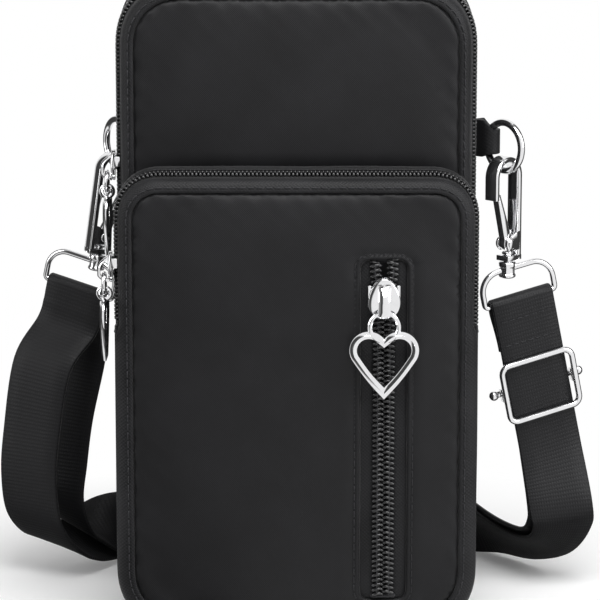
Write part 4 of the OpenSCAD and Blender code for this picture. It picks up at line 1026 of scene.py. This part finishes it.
def settle_side(s):
    """Places of a side's ring, hook, swivel and bar, each hanging from the one before."""
    yaw = math.radians(s.ring_yaw)
    wire = Vector((s.tab[0] - 0.8 * math.cos(yaw), s.tab[1] - 0.8 * math.sin(yaw), s.tab_z))
    s.ring = wire + RING_R * Vector((math.cos(yaw), math.sin(yaw), 0))
    drop = HOOK_H - HOOK_T - HOOK_CLEAR - s.sag
    tilt, hook_yaw = math.radians(s.hook_tilt), math.radians(s.hook_yaw)
    across = s.ring_x * math.cos(hook_yaw)
    hook = s.ring - Vector((across * math.cos(tilt) + drop * math.sin(tilt), s.ring_x * math.sin(hook_yaw),
                            RING_R - RING_WIRE - across * math.sin(tilt) + drop * math.cos(tilt)))
    eye = hook + Vector((EYE_Z * math.sin(tilt), 0, EYE_Z * math.cos(tilt)))
    bar = eye + turn(s.bar_tilt, s.bar_yaw) @ Vector((-s.eye_off, 0, -LOOP_DROP))
    lean = Matrix.Translation(hook) @ Matrix.Rotation(tilt, 4, "Y")
    s.hook_frame = lean @ Matrix.Rotation(hook_yaw, 4, "Z") @ Matrix.Scale(s.mirror, 4, X)
    s.swivel_frame = lean @ Matrix.Rotation(math.radians(s.bar_yaw), 4, "Z")
    s.bar_frame = Matrix.Translation(bar) @ turn(s.bar_tilt, s.bar_yaw)
    s.wide = (s.bar_frame.to_3x3() @ X).normalized()


settle_side(RIGHT)
settle_side(LEFT)


def strip_part(path_xz, depth, thick):
    """A bent flat strip, its edges rounded: path in X and Z, width along Y."""
    path = np.array([(x, 0, z) for x, z in path_xz], float)
    tangent = unit(np.gradient(path, axis=0))
    normal = np.stack([tangent[:, 2], np.zeros(len(path)), -tangent[:, 0]], 1)
    half, t = depth / 2, thick / 2
    ring = [(-half + 0.35, -t), (half - 0.35, -t), (half - 0.1, -t + 0.12), (half, -t + 0.4), (half, t - 0.4),
            (half - 0.1, t - 0.12), (half - 0.35, t), (-half + 0.35, t), (-half + 0.1, t - 0.12), (-half, t - 0.4),
            (-half, -t + 0.4), (-half + 0.1, -t + 0.12)]
    return swept_part(path, ring, np.tile([0, 1.0, 0], (len(path), 1)), normal, lambda a, b: a)


def hook_parts():
    bow_r, bow_z = HOOK_W / 2 - HOOK_T / 2, HOOK_H - HOOK_W / 2
    spine = [(BOW_X - bow_r, z) for z in np.linspace(0.9, bow_z, 12)]
    bow = arc(BOW_X, bow_z, bow_r, np.linspace(math.pi, 0, 26)[1:])
    beak = [(BOW_X + bow_r, z) for z in np.linspace(bow_z, HOOK_H * 0.6, 6)[1:]]
    foot = [(-SPINE_X, 0), (2.4, 0), (2.4, 1.6), (-SPINE_X, 1.6)]
    inner = -SPINE_X + HOOK_T / 2
    cheek = [(inner, 3.0), (1.4, 3.0), (2.3, 3.8)] + arc(PIN_X, PIN_Z, HUB_R, np.linspace(-0.3, 1.7, 10))
    cheek += [(-1.2, 8.4), (inner, 9.0)]
    parts = [strip_part(spine + bow + beak, HOOK_D, HOOK_T), slab_part(foot, -HOOK_D / 2, HOOK_D / 2)]
    return parts + [slab_part(cheek, side * 1.9 - 0.4, side * 1.9 + 0.4) for side in (-1, 1)]


def gate_part():
    gate_x, gate_z = BOW_X + HOOK_W / 2 - HOOK_T - 0.3 - 0.75, HOOK_H * 0.6 + 1.5
    depth = HOOK_D - 1.6 - 0.6
    lean = math.atan2(gate_x - PIN_X, gate_z - PIN_Z)
    along, across = np.array([math.sin(lean), math.cos(lean)]), np.array([math.cos(lean), -math.sin(lean)])
    end = np.array([PIN_X, PIN_Z]) + along * math.hypot(gate_x - PIN_X, gate_z - PIN_Z)
    shape = arc(PIN_X, PIN_Z, HUB_R, np.linspace(math.radians(150), math.radians(390), 16))
    return slab_part(shape + [tuple(end + across * 0.75), tuple(end - across * 0.6)], -depth / 2, depth / 2)


def loop_part():
    """The strap's wire loop: a flat bar below and wide round shoulders above."""
    half = WEB_W / 2 + 0.6 + LOOP_WIRE
    low, high = 1.2, 6.0
    right = math.pi / 2
    path = [(x, 0) for x in np.linspace(-half + low, half - low, 12)]
    path += arc(half - low, low, low, np.linspace(-right, 0, 6)[1:])
    path += [(half, z) for z in np.linspace(low, LOOP_DROP - high, 4)[1:]]
    path += arc(half - high, LOOP_DROP - high, high, np.linspace(0, right, 14)[1:])
    path += [(x, LOOP_DROP) for x in np.linspace(half - high, -half + high, 8)[1:]]
    path += arc(-half + high, LOOP_DROP - high, high, np.linspace(right, math.pi, 14)[1:])
    path += [(-half, z) for z in np.linspace(LOOP_DROP - high, low, 4)[1:]]
    path += arc(-half + low, low, low, np.linspace(math.pi, 3 * right, 6)[1:-1])
    return tube_part([(x, 0, z) for x, z in path], LOOP_WIRE, closed=True)


SWIVEL_PROFILE = [(0.9, -5.3), (2.15, -5.3), (2.6, -4.9), (2.6, -4.3), (2.3, -3.9), (2.3, -2.2), (2.6, -1.8),
                  (2.6, -0.7), (2.2, -0.3), (1.2, -0.3), (1.2, 1.9), (1.7, 1.9), (1.7, 2.5), (1.3, 2.7)]


def build_chain(s):
    ring, hook, loop, gate = (s.key + end for end in ("_ring", "_hook", "_loop", "_gate"))
    yaw = math.radians(s.ring_yaw)
    wire = ring_part(s.ring, RING_R, (math.cos(yaw), math.sin(yaw), 0), RING_WIRE, n=56, sides=16)
    metal_piece(ring + "_wire", [wire], Matrix.Identity(4), ring, ring)
    metal_piece(hook + "_body", hook_parts(), s.hook_frame, hook, hook, 0.18)
    side_y = HOOK_D / 2
    rivet = [disc_part(PIN_X, PIN_Z, 1.0, -side_y - 0.35, side_y + 0.35),
             disc_part(PIN_X, PIN_Z, 1.45, -side_y - 0.45, -side_y - 0.02),
             disc_part(PIN_X, PIN_Z, 1.45, side_y + 0.02, side_y + 0.45)]
    metal_piece(s.key + "_rivet", rivet, s.hook_frame, hook, gate + "_pin", 0.15)
    x = -SPINE_X + HOOK_T + 0.05
    leaf = [(x, 9.0), (x + 0.3, 9.0), (x + 0.3, 13.6), (x + 0.9, 18.0), (x + 0.6, 18.1), (x, 13.6)]
    metal_piece(s.key + "_leaf_spring", [slab_part(leaf, -0.75, 0.75)], s.hook_frame, hook, gate + "_spring", 0.05,
                STEEL, "spring_steel")
    metal_piece(s.key + "_lever", [gate_part()], s.hook_frame, gate, gate, 0.3)
    metal_piece(s.key + "_swivel_barrel", [turned_part(SWIVEL_PROFILE)], s.swivel_frame, loop, s.key + "_swivel",
                0.12)
    metal_piece(loop + "_wire", [loop_part()], s.bar_frame, loop, s.key + "_strap_loop")


def build_tab(s, root):
    """A folded webbing tab: two layers out of the seam that part round the ring's wire."""
    start, centre = np.array(root, float), np.array(s.tab, float)
    along = centre - start
    reach = np.linalg.norm(along)
    along /= reach
    across = np.array([-along[1], along[0]])
    bore, t = 2.2, 1.1
    neck = start + along * (reach - 3.6)
    line = [start - across * 0.62, neck - across * 0.7]
    line += [centre + (bore + t / 2) * (along * math.cos(a) + across * math.sin(a))
             for a in np.linspace(-2.3, 2.3, 18)]
    line = np.array(line + [neck + across * 0.7, start + across * 0.62])
    run = arc_lengths(line, closed=False)
    fine = np.linspace(0, run[-1], 60)
    path = sample(fine, run, line)
    kernel = np.array([1, 2, 3, 2, 1]) / 9
    for k in range(2):
        path[2:-2, k] = np.convolve(path[:, k], kernel, "valid")
    verts, uvs = [], []
    rows = 9
    for i, p in enumerate(path):
        far = float((p - start) @ along / reach)
        low = s.tab_z - 3.5 + 0.8 * np.clip((far - 0.6) / 0.4, 0, 1)
        high = s.tab_z + 7.5 - 2.9 * np.clip((far - 0.7) / 0.5, 0, 1)
        for k in range(rows):
            verts.append((p[0], p[1], low + (high - low) * k / (rows - 1)))
            uvs.append((fine[i], (high - low) * k / (rows - 1)))
    faces = net(len(path), rows, wrap_cols=False, back=True)
    obj = thicken(add_mesh(s.key + "_ring_tab", (verts, faces, uvs), TAPE), t, offset=0)
    soften(obj, 0.2, 50)
    place(obj, "bag", [s.key + "_tab"])


# The strap: one length of webbing through the stations that the solids follow.
# A station is a point and the direction of the webbing's width.
FOLD_MID = LOOP_WIRE + 0.1 + WEB_T / 2
FOLD_RUN, SEWN_RUN, STRAIGHT_RUN, FOLD_Z = 3.0, 14.0, 47.0, 10.6
LEFT_FRONT = [[-77, 30, 68, 0.86, -0.45, -0.14], [-80.5, 28.5, 47, 0.86, -0.48, -0.03],
              [-81.5, 28.5, 33, 0.86, -0.48, 0], [-80, 30.5, 19.5, 0.86, -0.5, -0.05],
              [-74.2, 36, 10.6, 0.82, -0.55, -0.14], [-67, 45, 8.8, 0.62, -0.56, -0.48],
              [-59, 56.2, 8.9, 0.42, -0.4, -0.78], [-53.5, 60.4, 10.2, 0.1, -0.1, -0.99]]
LEFT_REAR = [[-67, 41.5, 69, 0.86, -0.48, -0.1], [-71, 41, 50, 0.86, -0.48, -0.05],
             [-73, 41, 35, 0.86, -0.48, 0], [-74, 41, 24, 0.86, -0.5, -0.05],
             [-70.5, 44.6, 15.2, 0.76, -0.58, -0.22], [-65, 50.2, 11, 0.62, -0.56, -0.35],
             [-58.5, 54, 11.2, 0.42, -0.4, -0.8], [-53.5, 57.4, 10.8, 0.1, -0.1, -0.99]]
RIGHT_FRONT = [[79.8, 18.2, 27, 0.97, 0.22, 0.05], [80.5, 21.5, 19.5, 0.9, 0.4, -0.1],
               [77, 29, 12, 0.72, 0.56, -0.4], [69, 41, 8.6, 0.55, 0.55, -0.63],
               [59.5, 54, 9, 0.42, 0.42, -0.8], [52, 61, 10.3, 0.1, 0.1, -0.99]]
RIGHT_REAR = [[79.0, 20.3, 29.5, 0.96, 0.25, 0.05], [78.8, 23.6, 21.2, 0.9, 0.4, -0.1],
              [75.2, 30.5, 14.3, 0.72, 0.56, -0.4], [67.5, 42.5, 11.4, 0.55, 0.55, -0.63],
              [59.2, 57, 10.9, 0.42, 0.42, -0.8], [52, 64, 10.7, 0.1, 0.1, -0.99]]
FOLDS_OUTER = [(-49.8, 58.1), (-46.8, 58.6), (-43.5, 55.5), (-41.5, 46), (-37, 39), (-29, 36.6), (-15, 36.5),
               (20, 36.5), (37, 36.5), (43.5, 38.4), (45.8, 43), (43.5, 47.6), (37, 49.5), (0, 49.5),
               (-22, 49.5), (-28, 51.4), (-30, 56), (-28, 60.6), (-22, 62.5), (0, 62.5), (30, 62.5), (46, 62.5)]
FOLDS_INNER = [(-49.8, 61.1), (-45.8, 61.4), (-41, 56.6), (-38.6, 47.2), (-34.5, 41.4), (-27, 39.2), (-15, 39.1),
               (20, 39.1), (36, 39.1), (41, 40.3), (43, 43), (41, 45.7), (36, 46.9), (0, 46.9), (-23, 46.9),
               (-30.5, 49.6), (-33, 56), (-30.5, 62.4), (-23, 65.1), (0, 65.1), (30, 65.1), (46, 65.1)]


def stations(frame_at, wide, points):
    return [[*(frame_at @ Vector(p)), *wide] for p in points]


def on_edge(points):
    return [[x, y, FOLD_Z, 0, 0, -1] for x, y in points]


def smooth(rows, steps=8):
    """The solids' spline through the stations, sampled finer. All stations are rounded as Blender's vectors are."""
    data = np.array(rows, np.float32).astype(float)
    out = []
    for i in range(len(data) - 1):
        a, b, c = data[max(i - 1, 0)], data[i], data[i + 1]
        d = data[min(i + 2, len(data) - 1)]
        for t in (k / steps for k in range(steps)):
            out.append(b + (c - a) * t / 2 + (a - 2.5 * b + 2 * c - d / 2) * t * t
                       + (3 * b - a - 3 * c + d) * t ** 3 / 2)
    return np.array(out + [data[-1]])


def ribbon_part(rows, thick=WEB_T):
    path, w = rows[:, :3], unit(rows[:, 3:])
    normal = unit(np.cross(unit(np.gradient(path, axis=0)), w))
    half, t = WEB_W / 2, thick / 2
    ring = [(-half + 0.5, -t * 0.96), (-half * 0.5, -t), (0, -t), (half * 0.5, -t), (half - 0.5, -t * 0.96),
            (half - 0.1, -t * 0.6), (half, 0), (half - 0.1, t * 0.6), (half - 0.5, t * 0.96), (half * 0.5, t), (0, t),
            (-half * 0.5, t), (-half + 0.5, t * 0.96), (-half + 0.1, t * 0.6), (-half, 0), (-half + 0.1, -t * 0.6)]
    return swept_part(path, ring, w, normal, lambda a, b: a + (40 if b > 0 else 0), over=True)


def half_turn(r, count, sign=1, y=0.0):
    """Points round a bar along X at y, from its rear side, or with sign -1 from its front side, over its top."""
    return [(0, y + sign * r * math.cos(a), r * math.sin(a)) for a in np.linspace(0, math.pi, count)]


def build_strap():
    def on_bar(s, points):
        return stations(s.bar_frame, s.wide, points)

    rows = on_bar(RIGHT, [(0, -0.3, -SEWN_RUN), (0, -0.1, -SEWN_RUN * 0.75), (0, 0.6, -SEWN_RUN / 2),
                          (0, FOLD_MID, -FOLD_RUN)])
    rows += on_bar(RIGHT, half_turn(FOLD_MID, 13))
    rows += on_bar(RIGHT, [(0, -FOLD_MID, -z) for z in (FOLD_RUN, STRAIGHT_RUN / 2, STRAIGHT_RUN)])
    rows += RIGHT_FRONT + on_edge(FOLDS_OUTER[::-1]) + LEFT_REAR[::-1]
    rows += on_bar(LEFT, [(0.5, FOLD_MID + 0.6, -4 * FOLD_RUN), (0, FOLD_MID, -2 * FOLD_RUN),
                          (0, FOLD_MID, -FOLD_RUN)])
    rows += on_bar(LEFT, half_turn(FOLD_MID, 13))
    rows += on_bar(LEFT, [(0, -FOLD_MID, -FOLD_RUN), (0, -FOLD_MID, -2 * FOLD_RUN),
                          (-0.5, -FOLD_MID - 0.6, -4 * FOLD_RUN)])
    rows += LEFT_FRONT + on_edge(FOLDS_INNER) + RIGHT_REAR[::-1]
    rows += on_bar(RIGHT, [(0.6, -FOLD_MID + 1.5, -STRAIGHT_RUN + 2)])
    strap = add_mesh("shoulder_strap", ribbon_part(smooth(rows)), WEBBING)
    place(strap, "bag", ["left_strap_front", "left_strap_rear", "strap_folds", "right_strap_front",
                         "right_strap_rear"])


def build_adjuster():
    at = Matrix.Translation(RIGHT.bar_frame @ Vector((0, -FOLD_MID, -27.0))) @ turn(RIGHT.bar_tilt, RIGHT.bar_yaw)
    wire = 0.95
    half_x, half_z = 25.0 / 2 - wire, 19.5 / 2 - wire
    wire_y = WEB_T / 2 + 0.3 + wire
    bar_y = wire_y + 0.05
    corner = 2.6
    x, z = half_x - corner, half_z - corner
    path = []
    for cx, cz, start in ((x, z, 0), (-x, z, 90), (-x, -z, 180), (x, -z, 270)):
        path += arc(cx, cz, corner, [math.radians(start + 90 * i / 7) for i in range(8)])
    path = [np.array((x, -wire_y, z)) for x, z in path]
    fine = []
    for p, q in zip(path, path[1:] + path[:1]):
        steps = max(1, int(math.dist(p, q) / 2.5))
        fine += [p + (q - p) * k / steps for k in range(steps)]
    parts = [tube_part(fine, wire, closed=True)]
    parts += [box_part((side * half_x - wire * 0.9, -wire_y, -2 * wire),
                       (side * half_x + wire * 0.9, wire_y - wire, 2 * wire)) for side in (-1, 1)]
    metal_piece("adjuster_wire", parts, at, "adjuster", "adjuster_frame")

    reach, ball_r = half_x + wire + 1.5, 1.5
    profile = [(ball_r * math.sin(a), ball_r * -math.cos(a)) for a in np.linspace(0.15, math.pi - 0.15, 10)]
    parts = [tube_part([(x, bar_y, 0) for x in np.linspace(-reach, reach, 6)], wire)]
    parts += [moved(turned_part(profile, 18), shifted(side * reach, bar_y, 0)) for side in (-1, 1)]
    metal_piece("adjuster_cross_bar", parts, at, "adjuster", "adjuster_bar")

    r = wire + 0.05 + 0.5
    points = [(0, bar_y - r * 0.98, -z) for z in (5.5, 3.0, 1.0)]
    points += half_turn(r, 11, -1, bar_y) + [(0, bar_y + r, -z) for z in (1.0, 3.5, 7.5)]
    strap_end = ribbon_part(smooth(stations(at, RIGHT.wide, points), 4), 1.0)
    place(add_mesh("adjuster_strap_end", strap_end, WEBBING), "adjuster", ["strap_bar_fold"])


def build_sewn_end():
    front = RIGHT.bar_frame
    up = tuple(front.to_3x3() @ Vector((0, -1, 0)))
    for k, z in enumerate((5.0, 12.5)):
        points = [front @ Vector((x, -FOLD_MID - WEB_T / 2 - 0.02, -z)) for x in np.linspace(-8.6, 8.6, 20)]
        stitches("sewn_end_stitches_%d" % k, points, [up] * len(points), pitch=2.2, length=1.6, radius=0.15)


# Studio
# What metal mirrors, by compass direction from the front: pale ahead and behind, dark cards to the sides
FLAGS = ((-180, 1.0), (-150, 0.95), (-142, 0.05), (-100, 0.05), (-89, 0.95), (-76, 0.95), (-68, 0.26),
         (-54, 0.24), (-46, 0.06), (-27, 0.06), (-19, 0.95), (88, 1.0), (94, 0.05), (142, 0.05), (150, 0.95),
         (180, 1.0))
WHITE = (1.0, 1.0, 1.0)
WORLD_GREY = (0.28, 0.28, 0.28)  # what lights the matt surfaces
FLOOR_GLOW = 0.1
FADE_START, FADE_END = 0.09, 0.17  # metres from the origin between which the floor turns white


def flags(g, x, y):
    share = g.math("MULTIPLY_ADD", g.math("ARCTAN2", x, g.times(y, -1.0)), 0.5 / math.pi, 0.5)
    return g.colours(share, [(degrees / 360 + 0.5, (value,) * 3) for degrees, value in FLAGS])


def light_path(g):
    camera_ray = g.new("LightPath", (), "Is Camera Ray")
    return camera_ray, camera_ray.node.outputs["Is Glossy Ray"]


def build_floor():
    """A pale floor that takes the shadow, fades to white for the camera and shows the flags to metal."""
    size = 4000.0
    verts = [(-size, -size, 0), (size, -size, 0), (size, size, 0), (-size, size, 0)]
    material, g, sockets = shader("floor", (0.9, 0.9, 0.9), 0.7, specular=0.2)
    bsdf = g.nodes["Principled BSDF"].outputs[0]
    where = g.new("TexCoord", (), "Object")
    g.feed(g.ramp(g.noise(where, 3.0), (0.89, 0.89, 0.89), (0.91, 0.91, 0.91)), sockets["Base Color"])
    x, y = g.split(where)
    reach = g.math("SQRT", g.add(g.times(x, x), g.times(y, y)))
    far = g.new("MapRange", {"From Min": FADE_START, "From Max": FADE_END, "Value": reach}, "Result")
    camera_ray, glossy_ray = light_path(g)
    lit = g.new("AddShader", [bsdf, g.new("Emission", {"Strength": FLOOR_GLOW})])
    seen = g.new("MixShader", [far, lit, g.new("Emission")])
    shown = g.new("MixShader", [camera_ray, bsdf, seen])
    shown = g.new("MixShader", [glossy_ray, shown, g.new("Emission", {"Color": flags(g, x, y)})])
    g.feed(shown, g.nodes["Material Output"].inputs["Surface"])
    floor = add_mesh("floor", (verts, [(0, 1, 2, 3)], [(v[0], v[1]) for v in verts]), material, smooth=False)


def build_world():
    world = bpy.data.worlds.new("studio")
    bpy.context.scene.world = world
    world.use_nodes = True
    g = Graph(world.node_tree)
    mirrored = flags(g, *g.split(g.new("TexCoord", (), "Generated")))
    camera_ray, glossy_ray = light_path(g)

    def mix(factor, a, b):
        return g.new("Mix", {"Factor": factor, "A": a, "B": b}, "Result", data_type="RGBA")

    sockets = g.nodes["Background"].inputs
    g.feed(mix(camera_ray, mix(glossy_ray, WORLD_GREY, mirrored), WHITE), sockets["Color"])
    g.feed(1.0, sockets["Strength"])


def lamp(name, where, size, watts):
    """A soft rectangular lamp, aimed at the middle of the bag."""
    data = bpy.data.lights.new(name, "AREA")
    data.shape = "RECTANGLE"
    data.size, data.size_y = size[0] * MM, size[1] * MM
    data.energy = watts
    obj = add_object(name, data)
    obj.location = Vector(where) * MM
    obj.rotation_euler = (Vector(where) - Vector((0, 0, 90))).to_track_quat("Z", "Y").to_euler()


build_main_compartment()
build_front_compartment()
build_side_coils()
build_pocket_zip()
build_linings()
build_sliders()
build_chain(LEFT)
build_chain(RIGHT)
build_tab(RIGHT, (52.0, 22.6))
build_tab(LEFT, (-50.1, 25.3))
build_strap()
build_adjuster()
build_sewn_end()
build_floor()
build_world()
lamp("key", (60, -330, 640), (420, 340), 4.2)
lamp("fill", (620, -260, 380), (300, 520), 2.6)
lamp("rim", (-600, -140, 320), (240, 520), 1.3)

bpy.context.scene.view_settings.view_transform = "Standard"
